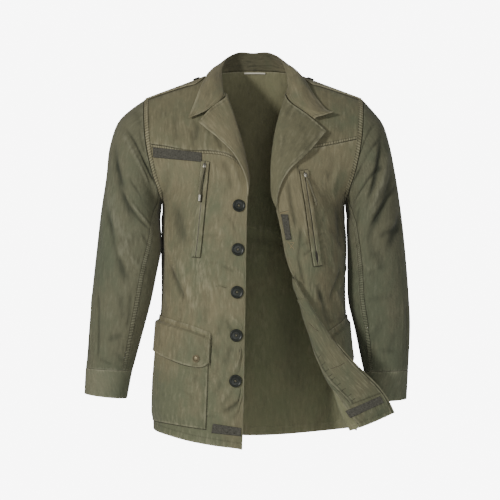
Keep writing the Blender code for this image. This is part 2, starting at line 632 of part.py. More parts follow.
# ---------------------------------------------------------------- pieces on the panels
def find(sheet, x, z, u, v):
    """Flat places of the points of a sheet that lie at x and z, from a first guess."""
    x, z = np.broadcast_arrays(np.asarray(x, float), np.asarray(z, float))
    shape = x.shape
    x, z = x.ravel(), z.ravel()
    u = np.full(len(x), float(u))
    v = np.full(len(x), float(v))
    for _ in range(14):
        here = sheet.plain(u, v)
        by_u = sheet.plain(u + 1.0, v) - here
        by_v = sheet.plain(u, v + 1.0) - here
        miss_x, miss_z = x - here[:, 0], z - here[:, 2]
        det = by_u[:, 0] * by_v[:, 2] - by_v[:, 0] * by_u[:, 2]
        det = np.where(np.abs(det) < 0.05, 0.05 * np.sign(det + 1e-9), det)
        u += np.clip((miss_x * by_v[:, 2] - miss_z * by_v[:, 0]) / det, -25.0, 25.0)
        v += np.clip((miss_z * by_u[:, 0] - miss_x * by_u[:, 2]) / det, -25.0, 25.0)
    return u.reshape(shape), v.reshape(shape)


def corner_grid(corners, across, down):
    """Places between four corners: top outer, top inner, bottom inner, bottom outer."""
    a, b, c, d = (np.asarray(corner, float) for corner in corners)
    s, t = np.meshgrid(across, down)
    s, t = s[..., None], t[..., None]
    return a * (1 - s) * (1 - t) + b * s * (1 - t) + c * s * t + d * (1 - s) * t


def even(steps):
    return np.linspace(0.0, 1.0, steps + 1)


def flat_patch(sheet, corners, across, down):
    """Flat places of a patch whose corners are given by (x, z)."""
    grid = corner_grid(corners, across, down)
    mean = grid.reshape(-1, 2).mean(axis=0)
    guess_u, guess_v = 110.0, float(np.clip(-mean[1] - 20.0, 60.0, 640.0))
    return find(sheet, grid[..., 0], grid[..., 1], guess_u, guess_v)


# Shoulder straps: over the crest, from the armhole to a point under the collar. The first
# number is the station on the front; its reach forward and back over the crest follows.
STRAP = ((4, 24, 24), (45, 25, 24), (85, 26, 24), (108, 25, 23), (119, 12, 11))
STRAP_STEPS = np.array((4.0, 24.0, 45.0, 66.0, 87.0, 107.0, 119.0))


def strap_points(front, side, out):
    """A strip over the shoulder: the front's points on one side, the back's on the other."""
    rows = []
    for fraction in (-1.0, -0.5, 0.0, 0.5, 1.0):
        knots = [row[0] for row in STRAP]
        fore = blend(knots, [row[1] for row in STRAP], STRAP_STEPS)
        aft = blend(knots, [row[2] for row in STRAP], STRAP_STEPS)
        if fraction <= 0.0:
            rows.append(front.at(STRAP_STEPS, -fraction * fore, out))
        else:
            there = side * blend((0, 60, 135), (190.0, 139.0, 84.0), STRAP_STEPS)
            rows.append(back.at(there, fraction * aft, out))
    return np.array(rows)


# Breast zips by (x, z): the top and the foot of the opening, and half its width.
ZIPS = {
    "right": (front_right, (-88.5, -168), (-104, -337), 3.6),
    "left": (front_left, (92.5, -184), (116, -353), 3.6),
}
# The pulls hang beside the zip: from the slider's eye to the knot, by (x, z).
PULLS = {"right": ((-89.2, -173), (-96.5, -238)), "left": ((94, -190), (111, -246))}


def strip(sheet, top, foot, near, far, steps, out, extra=0.0):
    """A strip along a zip, between two distances to the side of its line."""
    top, foot = np.asarray(top, float), np.asarray(foot, float)
    line = foot - top
    long = np.linalg.norm(line)
    line = line / long
    beside = np.array((line[1], -line[0])) * (-1.0 if top[0] < 0 else 1.0)
    down = np.linspace(-extra, long + extra, steps + 1)
    places = top + down[:, None, None] * line + np.array((near, far))[None, :, None] * beside
    u, v = find(sheet, places[..., 0], places[..., 1], 130.0, -top[1] + 60.0)
    return sheet.at(u, v, out)


def facing_out(centre, axis, up):
    """Matrix of a frame at a point: Z along the axis, Y as near to up as it can be."""
    across = np.cross(up, axis)
    across /= np.linalg.norm(across)
    along = np.cross(axis, across)
    turned = Matrix(np.column_stack([across, along, axis]).tolist()).to_4x4()
    turned.translation = centre * MM
    return turned


def disc(name, slot, sheet, u, v, out, rings, turns=16):
    """A turned piece standing on a sheet: rings of (radius, height) from foot to crown."""
    u, v = np.atleast_1d(float(u)), np.atleast_1d(float(v))
    axis = sheet.normal(u, v)[0] * (1.0 if out >= 0 else -1.0)
    profile = [(0.0, rings[0][1])] + list(rings) + [(0.0, rings[-1][1])]
    points = [(radius, 0.0, height) for radius, height in profile[::-1]]
    edges = [(k, k + 1) for k in range(len(points) - 1)]
    made = place(name, slot, points, [], edges)
    made.matrix_world = facing_out(sheet.at(u, v, out)[0], axis, (0.0, 0.0, 1.0))
    turn = made.modifiers.new("turn", "SCREW")
    turn.steps = turns
    turn.render_steps = turns
    turn.use_merge_vertices = True
    turn.merge_threshold = 0.00002
    return made


def cord(name, slot, path, radius):
    """A round cord along a path of points, with a share of its thickness at each."""
    curve = bpy.data.curves.new(name, "CURVE")
    curve.dimensions = "3D"
    curve.bevel_depth = radius.max() * MM
    curve.bevel_resolution = 2
    curve.use_fill_caps = True
    spline = curve.splines.new("POLY")
    spline.points.add(len(path) - 1)
    for point, place_at, width in zip(spline.points, path * MM, radius / radius.max()):
        point.co = (*place_at, 1.0)
        point.radius = width
    made = bpy.data.objects.new(name, curve)
    curve.materials.append(materials[slot])
    jacket.objects.link(made)
    return made


def block(name, slot, sheet, u, v, out, sizes, lean):
    """A small block on a sheet: its width, height and depth, turned by lean degrees."""
    u, v = np.atleast_1d(float(u)), np.atleast_1d(float(v))
    mesh = bpy.data.meshes.new(name)
    shape = bmesh.new()
    bmesh.ops.create_cube(shape, size=1.0, matrix=Matrix.Diagonal((*[size * MM for size in sizes], 1.0)))
    shape.to_mesh(mesh)
    shape.free()
    mesh.materials.append(materials[slot])
    made = bpy.data.objects.new(name, mesh)
    jacket.objects.link(made)
    frame = facing_out(sheet.at(u, v, out)[0], sheet.normal(u, v)[0], (0.0, 0.0, 1.0))
    made.matrix_world = frame @ Matrix.Rotation(math.radians(lean), 4, "Z")
    edge = made.modifiers.new("edges", "BEVEL")
    edge.width = 0.6 * MM
    edge.segments = 2
    edge.limit_method = "ANGLE"
    return made


OVER = LAYER + 0.6     # a piece on a curved panel stands this far out
BUTTON = ((10.4, 0.0), (11.6, 0.8), (11.6, 1.9), (10.6, 2.6), (8.4, 2.6), (7.4, 1.9))
SMALL_BUTTON = ((6.6, 0.0), (7.5, 0.6), (7.5, 1.4), (6.8, 2.0), (4.8, 1.5))
SNAP = ((6.2, 0.0), (6.5, 0.5), (5.2, 1.3), (2.6, 2.0))

for side, (sheet, top, foot, half) in ZIPS.items():
    sign = -1.0 if side == "right" else 1.0
    cloth("shoulder_strap_" + side, "olive_cotton", strap_points(sheet, sign, OVER + 0.8), 2.2)
    disc("strap_button_" + side, "button_plastic", sheet, 103, 9, OVER + 2.4, SMALL_BUTTON, 14)
    cloth("zip_tape_" + side, "zip_tape", strip(sheet, top, foot, -6.5, 6.5, 10, OVER), 1.0)
    lift = OVER + 1.4
    cloth("welt_in_" + side, "olive_cotton", strip(sheet, top, foot, -half - 4.5, -half, 10, lift, 3), 1.1)
    cloth("welt_out_" + side, "olive_cotton", strip(sheet, top, foot, half, half + 4.5, 10, lift, 3), 1.1)
    (eye_x, eye_z), (end_x, end_z) = PULLS[side]
    u, v = find(sheet, [eye_x], [eye_z], 130.0, -eye_z + 60.0)
    lean = math.degrees(math.atan2(foot[0] - top[0], top[1] - foot[1]))
    block("zip_slider_" + side, "zip_steel", sheet, u[0], v[0], OVER + 2.6, (5.0, 10.0, 3.2), lean)
    t = even(9)
    xs = eye_x + (end_x - eye_x) * t + sign * 2.0 * np.sin(math.pi * t)
    zs = eye_z - 7.5 + (end_z - eye_z + 7.5) * t
    u, v = find(sheet, xs, zs, 130.0, -eye_z + 60.0)
    width = np.array((1.4, 1.7, 1.7, 1.7, 1.7, 1.7, 1.7, 2.6, 2.7, 1.6))
    cord("zip_pull_" + side, "cord", sheet.at(u, v, OVER + 6.4), width)

# Front buttons by height, set back from the edge; the fly side of the other front carries
# the buttonholes.
BUTTON_Z = (-246.0, -326.0, -404.0, -483.0, -566.0)
for number, height in enumerate(BUTTON_Z, 1):
    edge_x = blend((-692, -237), (-20.0, -11.5), [height])[0]
    u, v = find(front_right, [edge_x - 15.5], [height], 200.0, -height)
    disc("button_%d" % number, "button_plastic", front_right, u[0], v[0], OVER + 0.2, BUTTON)

# ---------------------------------------------------------------- pockets
# Across a pocket: the panel's stations, and how far it stands out; then down it.
POCKET_U = (3, 8, 30, 67, 120, 150, 156, 160)
POCKET_OUT = {"right": (2.1, 6.0, 8.2, 7.8, 6.5, 5.2, 3.8, 2.1), "left": (2.1, 3.0, 4.0, 5.6, 6.0, 5.2, 3.8, 2.1)}
POCKET_T = (0.0, 0.05, 0.3, 0.6, 0.92, 1.0)
POCKET_FULL = (0.5, 0.8, 1.0, 1.0, 0.7, 0.0)
# Each pocket: its inner edge's station at the top and at the foot.
POCKETS = {"right": (158.0, 160.0), "left": (146.0, 134.0)}
POCKET_TOP = ((3, 160), (467, 476))
POCKET_FOOT = ((3, 160), (657, 643))
# The flap's top edge and its rounded lower edge by station.
FLAP_TOP = ((1, 160), (453, 464))
FLAP_FOOT = ((1, 6, 33, 65, 97, 129, 145, 152, 161), (512, 518, 524, 529, 533, 536, 534, 530, 519))
FLAP_T = (0.0, 0.22, 0.5, 0.75, 1.0)
FLAP_LIFT = (0.0, 0.75, 1.0, 1.0, 1.0)


def stations_to(us, edge, first, last):
    """The panel's stations inside a piece, with the piece's own edges added."""
    inside = us[(us > first + 4.0) & (us < edge - 11.0)]
    return np.concatenate([(first, first + 4.0), inside, last])


def pocket_points(sheet, panel_us, top_edge, foot_edge, side):
    us = stations_to(panel_us, top_edge, 3.0, (top_edge - 3.0, top_edge))
    t = np.array(POCKET_T)[:, None]
    share = (us / top_edge) ** 4
    u = us[None, :] + t * share[None, :] * (foot_edge - top_edge)
    top = np.interp(u, *POCKET_TOP)
    foot = np.interp(u, *POCKET_FOOT)
    stand = np.interp(us * 160.0 / top_edge, POCKET_U, POCKET_OUT[side]) - OVER
    out = OVER + np.array(POCKET_FULL)[:, None] * stand[None, :]
    return sheet.at(u, top + (foot - top) * t, out)


def flap_points(sheet, panel_us, top_edge, side):
    edge = top_edge + 3.0
    us = stations_to(panel_us, edge, 1.0, (edge - 9.0, edge - 4.0, edge))
    t = np.array(FLAP_T)[:, None]
    foot = np.interp(us * 161.0 / edge, *FLAP_FOOT)[None, :]
    top = np.interp(us, *FLAP_TOP)[None, :]
    stand = np.interp(us * 160.0 / edge, POCKET_U, POCKET_OUT[side]) - OVER + 3.2
    out = OVER + np.array(FLAP_LIFT)[:, None] * stand[None, :]
    return sheet.at(us[None, :] + 0.0 * t, top + (foot - top) * t, out)


for side, (top_edge, foot_edge) in POCKETS.items():
    sheet, us = FRONTS[side]
    cloth("pocket_" + side, "olive_cotton", pocket_points(sheet, us, top_edge, foot_edge, side))
    cloth("pocket_flap_" + side, "olive_cotton", flap_points(sheet, us, top_edge, side), 1.8)
    disc("snap_" + side, "brass", sheet, top_edge - 16.0, 519, 5.5 + 3.2 + 1.6, SNAP, 14)

# ---------------------------------------------------------------- hook tapes, label, cuffs
NAME_TAPE = ((-187, -136), (-95, -148), (-95, -165.5), (-186, -155))
RANK_TAPE = ((49.5, -262), (63, -262), (69, -308), (59, -309))
HEM_TAPE = ((-74, -644), (-22.5, -652), (-23, -667), (-77, -661))
u, v = flat_patch(front_right, NAME_TAPE, even(6), even(2))
cloth("hook_tape_name", "hook_tape", front_right.at(u, v, OVER), 1.4)
u, v = flat_patch(front_left, RANK_TAPE, even(2), even(3))
cloth("hook_tape_rank", "hook_tape", front_left.at(u, v, OVER), 1.4)
u, v = flat_patch(front_right, HEM_TAPE, even(4), even(1))
cloth("hook_tape_hem", "hook_tape", front_right.at(u, v, OVER), 1.4)
places = corner_grid(((172, 616), (254, 612), (254, 631), (172, 637)), even(6), even(1))
cloth("hook_tape_inside", "hook_tape", front_left.at(places[..., 0], places[..., 1], -LAYER - OVER - 0.8), 1.4)
cloth("neck_label", "label_tape", rows_of(back, np.linspace(-21, 21, 5), (2.5, 7.5), -OVER - 0.8), 1.0)
for side, sheet in (("right", sleeve_right), ("left", sleeve_left)):
    disc("cuff_button_" + side, "button_plastic", sheet, 250, 492, 5.0, SMALL_BUTTON, 14)
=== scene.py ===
"""Looks of a field jacket worn open: cotton shells with folds and sewing, and its fittings.

Flat co-ordinates (u, v) are in millimetres on each panel: u runs across from the side seam
(from the centre line on the back) and v runs down from the shoulder seam.
"""

import math

import bpy
import numpy as np
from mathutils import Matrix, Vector


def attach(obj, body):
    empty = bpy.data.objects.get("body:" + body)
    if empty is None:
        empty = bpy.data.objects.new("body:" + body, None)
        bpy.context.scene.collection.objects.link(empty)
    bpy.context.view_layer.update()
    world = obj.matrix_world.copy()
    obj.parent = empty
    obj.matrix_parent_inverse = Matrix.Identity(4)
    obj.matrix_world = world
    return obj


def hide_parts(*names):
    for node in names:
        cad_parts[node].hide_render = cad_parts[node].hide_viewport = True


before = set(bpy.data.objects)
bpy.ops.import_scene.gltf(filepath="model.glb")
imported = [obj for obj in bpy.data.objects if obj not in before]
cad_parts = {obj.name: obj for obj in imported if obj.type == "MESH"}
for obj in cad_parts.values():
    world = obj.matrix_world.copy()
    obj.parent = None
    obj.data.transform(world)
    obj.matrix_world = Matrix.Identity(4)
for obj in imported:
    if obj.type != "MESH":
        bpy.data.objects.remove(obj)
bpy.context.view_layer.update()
MM = 0.001
CLOTH = 1.2
GAP = 0.3
LAYER = CLOTH + GAP
OVER = LAYER + 0.6


def linked(name, data):
    """A new object, in the scene."""
    made = bpy.data.objects.new(name, data)
    bpy.context.scene.collection.objects.link(made)
    return made


# ---------------------------------------------------------------- camera
eye = bpy.data.cameras.new("camera")
eye.lens = 128.8
eye.sensor_width = 36.0
eye.clip_end = 60.0
camera = linked("camera", eye)
camera.location = (-0.0066, -3.4, -0.327)
camera.rotation_euler = (math.radians(90.0), 0.0, 0.0)
bpy.context.scene.camera = camera


# ---------------------------------------------------------------- curves and surfaces
def weights(knots, t):
    """Matrix that turns values at the knots into values at t.

    Between two knots the curve is a cubic, and its slope at a knot is the slope of the
    parabola through that knot and its two neighbours.
    """
    k = np.asarray(knots, float)
    t = np.atleast_1d(np.asarray(t, float))
    n = len(k)
    step = np.diff(k)
    rise = np.diff(np.eye(n), axis=0) / step[:, None]
    slope = np.zeros((n, n))
    if n == 2:
        slope[:] = rise[0]
    else:
        share = (step[1:] / (step[:-1] + step[1:]))[:, None]
        slope[1:-1] = rise[:-1] * share + rise[1:] * (1.0 - share)
        slope[0] = 1.5 * rise[0] - 0.5 * slope[1]
        slope[-1] = 1.5 * rise[-1] - 0.5 * slope[-2]
    i = np.clip(np.searchsorted(k, t, side="right") - 1, 0, n - 2)
    h = step[i]
    s = (t - k[i]) / h
    out = np.zeros((len(t), n))
    rows = np.arange(len(t))
    out[rows, i] += 1.0 - 3.0 * s ** 2 + 2.0 * s ** 3
    out[rows, i + 1] += 3.0 * s ** 2 - 2.0 * s ** 3
    out += (h * (s - 2.0 * s ** 2 + s ** 3))[:, None] * slope[i]
    out += (h * (s ** 3 - s ** 2))[:, None] * slope[i + 1]
    return out


def blend(knots, values, t):
    """Values between the knots, by the same cubics."""
    return weights(knots, t) @ np.asarray(values, float)


def soft(x):
    """A rise from 0 to 1 that starts and ends level."""
    x = np.clip(x, 0.0, 1.0)
    return x * x * (3.0 - 2.0 * x)


class Sheet:
    """A cloth surface through sections, a section for each level v.

    Each section is a curve through its own stations u. The point at (u, v) is the blend
    over v of the points that the sections have at u. Folds push it along its normal.
    """

    def __init__(self, sections, side=1.0, folds=()):
        self.levels = [row[0] for row in sections]
        self.sections = [(row[1], np.asarray(row[2], float)) for row in sections]
        self.side = side
        self.folds = folds
        self.puckers = ()
        self.grooves = ()
        self.calm = 0.0

    def plain(self, u, v):
        share = weights(self.levels, v)
        out = np.zeros((len(u), 3))
        for column, (stations, points) in enumerate(self.sections):
            out += share[:, column:column + 1] * blend(stations, points, u)
        return out

    def normal(self, u, v):
        along = self.plain(u + 0.5, v) - self.plain(u - 0.5, v)
        down = self.plain(u, v + 0.5) - self.plain(u, v - 0.5)
        n = np.cross(along, down) * self.side
        return n / np.maximum(np.linalg.norm(n, axis=1), 1e-9)[:, None]

    def relief(self, u, v):
        """Height of the folds, soft bumps along lines in (u, v), and of the seams' puckers.

        A fold is (u, v, u, v, width, height, bow, lean): its line bows to one side, and it
        is wider on one side than on the other where it leans.
        """
        out = np.zeros(len(u))
        for u0, v0, u1, v1, width, height, *rest in self.folds:
            bow, lean = rest if rest else (0.0, 0.0)
            du, dv = u1 - u0, v1 - v0
            length = math.hypot(du, dv)
            t = ((u - u0) * du + (v - v0) * dv) / length ** 2
            near = (t > 0.0) & (t < 1.0)
            t = t[near]
            far = ((u[near] - u0) * dv - (v[near] - v0) * du) / length - bow * 4.0 * t * (1.0 - t)
            wide = width * np.where(far > 0.0, 1.0 + lean, 1.0 - lean)
            ends = 0.24 if rest else 0.4
            end = soft(t / ends) * soft((1.0 - t) / ends)
            out[near] += height * end * np.exp(-(far / wide) ** 2)
        for along, place, start, stop, height in self.puckers:
            far, run = (u - place, v) if along == "v" else (v - place, u)
            wave = np.sin(run / 2.1 + 2.0 * np.sin(run / 17.0)) + 0.8 * np.sin(run / 3.7 + 1.3 * np.sin(run / 29.0))
            end = soft((run - start) / 8.0) * soft((stop - run) / 8.0)
            out += height * end * wave * np.exp(-(far / 6.0) ** 2)
        return out * (1.0 - self.calm * np.exp(-(((u - 190.0) / 32.0) ** 2)) * soft((360.0 - v) / 80.0))

    def sewn(self, u, v):
        """Depth of the stitched lines: a narrow groove along each."""
        out = 0.0 * u
        for along, place, start, stop, depth in self.grooves:
            far, run = (u - place, v) if along == "v" else (v - place, u)
            inside = soft((run - start) / 4.0) * soft((stop - run) / 4.0)
            out = out - depth * inside * np.exp(-(far / 1.1) ** 2)
        return out

    def at(self, u, v, out=0.0):
        """Points at flat places (u, v), moved out along the normal."""
        u, v = np.broadcast_arrays(np.asarray(u, float), np.asarray(v, float))
        shape = u.shape
        u, v = u.ravel(), v.ravel()
        height = self.relief(u, v) + np.broadcast_to(out, shape).ravel()
        points = self.plain(u, v) + self.normal(u, v) * height[:, None]
        return points.reshape(shape + (3,))


def mirrored(points):
    return np.asarray(points, float) * (-1.0, 1.0, 1.0)


# ---------------------------------------------------------------- the body panels
# Stations across a front: side seam, flank, chest, neck point, neckline, roll line,
# middle of the lapel, edge.
ACROSS = (0.0, 45.0, 90.0, 135.0, 175.0, 215.0, 243.0, 270.0)
NAPE = (0.0, 42.0, 84.0, 135.0, 190.0)

# The outer part of both fronts, on the wearer's right: level, then the armhole or side
# seam, flank, chest, neck point and neckline.
OUTER = (
    (0, (-208, 8, -44), (-164, 10, -27), (-120, 10, -10), (-76, 8, 7), (-67, -28, -19)),
    (28, (-207, -19, -48), (-165, -18, -33), (-121, -18, -19), (-79, -19, -10), (-63, -48, -44)),
    (57, (-206, -44, -72), (-165, -43, -59), (-123, -43, -50), (-85, -46, -43), (-59, -66, -68)),
    (115, (-200, -67, -131), (-162, -74, -120), (-121, -79, -111), (-82, -86, -106), (-46, -97, -123)),
    (160, (-189, -70, -180), (-157, -86, -168), (-118, -98, -159), (-78, -107, -157), (-40, -114, -172)),
    (198, (-177, -57, -218), (-149, -87, -208), (-113, -106, -198), (-74, -116, -198), (-38, -121, -213)),
    (251, (-173, 0, -250), (-161, -48, -253), (-131, -88, -254), (-90, -114, -258), (-46, -126, -274)),
    (330, (-174.5, 0, -328), (-164, -48, -328), (-138, -87, -331), (-100, -113, -337), (-58, -127, -353)),
    (420, (-174, 0, -417), (-166, -48, -417), (-141, -87, -420), (-104, -114, -427), (-61, -128, -441)),
    (520, (-181, 0, -513), (-173, -48, -513), (-148, -89, -517), (-109, -117, -525), (-65, -131, -540)),
    (600, (-187, 0, -592), (-179, -49, -593), (-153, -91, -598), (-113, -120, -606), (-69, -132, -616)),
    (672, (-190, 0, -664), (-182, -51, -666), (-157, -94, -670), (-117, -121, -678), (-73, -132, -685)),
)
# Roll line, middle of the lapel and edge of the right front, at the same levels.
INNER_RIGHT = (
    ((-53, -60, -42), (-80, -75, -64), (-102, -83, -90)),
    ((-42, -74, -70), (-65, -88, -85), (-86, -94, -104)),
    ((-32, -86, -99), (-50, -99, -107), (-68, -104, -119)),
    ((-17, -106, -155), (-22, -117, -156), (-32, -124, -158)),
    ((-12, -118, -199), (-10, -125, -200), (-13, -131, -201)),
    ((-18, -123, -237), (-15, -125, -237), (-12, -127, -237)),
    ((-23, -127, -290), (-18, -128, -290), (-13, -129, -290)),
    ((-24, -130, -369), (-19, -131, -369), (-14, -131, -369)),
    ((-26, -131, -458), (-21, -132, -458), (-15.5, -132, -458)),
    ((-28, -133, -556), (-23, -133, -556), (-17.5, -134, -557)),
    ((-30, -133, -628), (-25, -133, -628), (-19, -134, -629)),
    ((-32, -133, -690), (-27, -133, -691), (-21, -134, -692)),
)
# The same for the left front above the waist, where its wider lapel turns back.
INNER_LEFT = (
    ((66, -60, -50), (102, -75, -78), (135, -84, -107)),
    ((55, -74, -74), (89, -91, -99), (119, -98, -127)),
    ((46, -86, -99), (75, -104, -120), (101, -111, -148)),
    ((36, -104, -150), (51, -117, -166), (66, -121, -181)),
    ((34, -112, -184), (42, -121, -196), (50, -125, -209)),
    ((37, -119, -231), (40.5, -122.5, -233), (44, -125, -236)),
)
# The left front is pulled open: how far its neck point and neckline stations move out.
OPENED = {0: (0, 0), 28: (1, 4), 57: (3, 8), 115: (6, 15), 160: (8, 22), 198: (10, 26)}
# The left front below: level, then stations and points as the edge swings out and the
# lower corner turns back outwards about its fold.
LOWER_LEFT = (
    (251, (0, 45, 90, 135, 175, 215, 243, 270),
     ((173, 0, -250), (162, -50, -253), (136, -90, -254), (103, -115, -258), (80, -126, -273),
      (63, -127, -287), (56, -127.5, -289), (50, -128, -291))),
    (330, (0, 45, 90, 135, 175, 215, 243, 270),
     ((174.5, 0, -328), (169, -50, -328), (153, -94, -330), (126, -125, -339), (100, -139, -353),
      (80, -141, -364), (73.5, -142, -366), (68.5, -143, -368))),
    (376, (0, 45, 90, 135, 175, 205, 225, 245, 270),
     ((174, 0, -373), (170, -49, -374), (155, -95, -376), (128, -128, -385), (100, -144, -396),
      (87, -147, -402), (81, -152, -404), (84, -158, -405), (88, -158, -405))),
    (420, (0, 45, 90, 135, 170, 190, 204, 222, 270),
     ((174, 0, -417), (170, -48, -417), (156, -94, -420), (130, -129, -428), (108, -147, -438),
      (98, -151, -443), (94.5, -158, -445), (101, -165, -446), (115, -164, -449))),
    (520, (0, 45, 90, 135, 160, 172, 184, 200, 270),
     ((180, 0, -513), (178, -50, -515), (172, -98, -522), (155, -137, -535), (138, -152, -544),
      (129, -158, -547), (128, -165, -547), (139, -171, -543), (175, -175, -522))),
    (600, (0, 45, 90, 125, 145, 156, 168, 186, 270),
     ((186, 0, -592), (187, -50, -596), (183, -100, -603), (172, -136, -609), (160, -151, -611),
      (153.5, -158, -611), (157, -166, -608), (174, -171, -601), (231, -172, -579))),
    (672, (0, 45, 90, 120, 136, 149, 168, 270),
     ((190, 0, -666), (192, -50, -665), (190, -100, -659), (186, -132, -655), (181, -148, -654),
      (174.5, -156, -655), (187, -163, -650), (255, -163, -621))),
)
# Rows added where the left edge changes over, at the foot of the lapel and above the
# turned-back corner.
TURNS_LEFT = (
    (225, ACROSS, ((71, -124, -243), (50, -124, -256), (46.5, -125.5, -259), (44.5, -127, -262))),
    (352, (0, 45, 90, 135, 175, 205, 225, 245, 270),
     ((100, -142, -373), (83, -144, -383), (77, -147, -386), (76, -153, -387), (80, -156, -388))),
)
# The back from its centre line out to the wearer's right armhole and side seam.
BACK = (
    (0, (0, 66, 19), (-42, 57, 17), (-76, 8, 7), (-142, 10, -18), (-208, 8, -44)),
    (28, (0, 78, -6), (-42, 72, -8), (-84, 38, -6), (-147, 36, -28), (-207, 36, -50)),
    (57, (0, 90, -33), (-42, 86, -35), (-90, 64, -26), (-150, 58, -46), (-206, 56, -70)),
    (115, (0, 108, -90), (-46, 105, -92), (-98, 95, -88), (-152, 82, -102), (-199, 70, -126)),
    (160, (0, 115, -134), (-50, 113, -137), (-101, 105, -143), (-150, 91, -153), (-188, 70, -176)),
    (198, (0, 118, -173), (-51, 117, -175), (-101, 110, -180), (-145, 92, -190), (-177, 56, -215)),
    (251, (0, 119, -226), (-51, 118, -228), (-99, 110, -232), (-143, 84, -240), (-173, 0, -250)),
    (330, (0, 114, -312), (-52, 113, -313), (-98, 106, -316), (-143, 78, -321), (-174.5, 0, -328)),
    (420, (0, 112, -408), (-52, 112, -409), (-98, 105, -411), (-142, 78, -414), (-174, 0, -417)),
    (520, (0, 116, -515), (-53, 115, -515), (-102, 108, -515), (-147, 80, -515), (-181, 0, -513)),
    (600, (0, 119, -604), (-54, 118, -603), (-104, 111, -601), (-151, 82, -598), (-187, 0, -592)),
    (672, (0, 121, -692), (-54, 120, -690), (-106, 113, -685), (-154, 83, -677), (-190, 0, -664)),
)


SHOULDER_END = np.array((-208.0, 8.0, -44.0))
SHOULDER_TOP = np.array((-76.0, 8.0, 7.0))


def shoulder_seam(share):
    """Points along the wearer's right shoulder seam, from the armhole to the neck."""
    share = np.asarray(share, float)[:, None]
    bow = np.sin(math.pi * share) * (0.0, 2.0, 0.0)
    return SHOULDER_END + (SHOULDER_TOP - SHOULDER_END) * share + bow


def with_row(rows, level, stations, inner):
    """Adds a section: the surface as it was at that level, with new points further in."""
    sheet = Sheet(rows)
    points = sheet.plain(np.array(stations, float), np.full(len(stations), float(level)))
    points[-len(inner):] = inner
    row = (level, stations, points)
    return sorted(rows + [row], key=lambda entry: entry[0])


def with_underarm(rows, ends):
    """Adds a section just below the underarm, so that the side seam starts straight."""
    at = next(k for k, row in enumerate(rows) if row[0] == 251)
    level, stations, here = rows[at]
    below = rows[at + 1][2]
    sheet = Sheet(rows)
    points = sheet.plain(np.array(stations, float), np.full(len(stations), level + 7.0))
    for end in ends:
        points[end] = here[end] + (below[end] - here[end]) * 7.0 / (rows[at + 1][0] - level)
    return rows[:at + 1] + [(level + 7.0, stations, points)] + rows[at + 1:]


def front_sections(outer, inner, side, lower=()):
    """Sections of a front: the shared outer points, then the front's own inner ones.

    The first section lies behind the shoulder seam and repeats the back, so that the crest
    is round. The shoulder row has close stations about the neck point, which is a corner.
    """
    rows = []
    for row, rest in zip(outer, inner):
        points = np.array(row[1:], float)
        if side > 0:
            points = mirrored(points)
            points[3:, 0] += OPENED[row[0]]
        rows.append((row[0], ACROSS, np.vstack([points, np.array(rest, float)])))
    behind = 2.0 * rows[0][2] - rows[1][2]
    crest = blend(NAPE, np.array(BACK[1][1:], float), (190.0, 155.0, 120.0, 84.0))
    behind[:4] = crest if side < 0 else mirrored(crest)
    stations = (0.0, 45.0, 90.0, 125.0, 135.0, 143.0, 175.0, 215.0, 243.0, 270.0)
    seam = shoulder_seam(np.array(stations[:5]) / 135.0)
    seam = seam if side < 0 else mirrored(seam)
    neck = rows[0][2][4:]
    turn = seam[-1] + (neck[0] - seam[-1]) * 0.2 + (side * 1.0, -0.5, 1.0)
    rows[0] = (0, stations, np.vstack([seam, turn, neck]))
    rows = with_underarm([(-28, ACROSS, behind)] + rows + list(lower), (0,))
    if side > 0:
        for level, stations, inner in TURNS_LEFT:
            rows = with_row(rows, level, stations, inner)
    return rows


# The largest folds of each panel: from (u, v) to (u, v), half width, height.
FOLDS_RIGHT = (
    (60, 225, 110, 330, 14, -4.0), (30, 250, 60, 360, 12, 3.0), (120, 300, 160, 420, 16, 3.0),
)
FOLDS_LEFT = (
    (40, 215, 75, 330, 14, -4.0), (20, 260, 40, 380, 12, 3.0),
)
FOLDS_BACK = (
    (-150, 240, -90, 400, 18, -4.0), (150, 235, 100, 380, 18, -4.0), (-60, 380, -40, 640, 20, 3.0),
    (50, 400, 70, 650, 22, 3.0),
)


def back_sections():
    """The back's half table and its mirror, from the wearer's right side to the left."""
    rows = []
    stations = [-u for u in NAPE[:0:-1]] + list(NAPE)
    for row in BACK:
        half = np.array(row[1:], float)
        rows.append((row[0], stations, np.vstack([half[:0:-1], mirrored(half)])))
    ahead = 2.0 * rows[0][2] - rows[1][2]
    crest = blend(ACROSS[:4], np.array(OUTER[1][1:5], float), (0.0, 60.0, 135.0))
    ahead[:3] = crest
    ahead[-3:] = mirrored(crest)[::-1]
    seam = shoulder_seam((0.0, 0.33, 0.66, 0.92, 1.0))
    neck = np.array(((-75.5, 15, 8.5), (-42, 57, 17), (0, 66, 19)), float)
    half = np.vstack([seam, neck])
    places = [-190.0, -155.0, -120.0, -92.5, -84.0, -77.0, -42.0, 0.0]
    rows[0] = (0, places + [-u for u in places[-2::-1]], np.vstack([half, mirrored(half)[-2::-1]]))
    return with_underarm([(-28, stations, ahead)] + rows, (0, -1))


front_right = Sheet(front_sections(OUTER, INNER_RIGHT, -1.0), -1.0, FOLDS_RIGHT)
LOWER_LEFT = [(level, stations, np.array(points, float)) for level, stations, points in LOWER_LEFT]
front_left = Sheet(front_sections(OUTER[:6], INNER_LEFT, 1.0, LOWER_LEFT), 1.0, FOLDS_LEFT)
back = Sheet(back_sections(), 1.0, FOLDS_BACK)

# The yoke seams drop from the armhole to the edge; rows of the fronts bend to follow them.
YOKE = 130.0
YOKE_U = (0, 45, 90, 130, 175, 215, 270)
YOKE_AT = {"right": (113, 129, 145, 149, 143, 141, 140), "left": (103, 122, 139, 146, 147, 147, 147)}


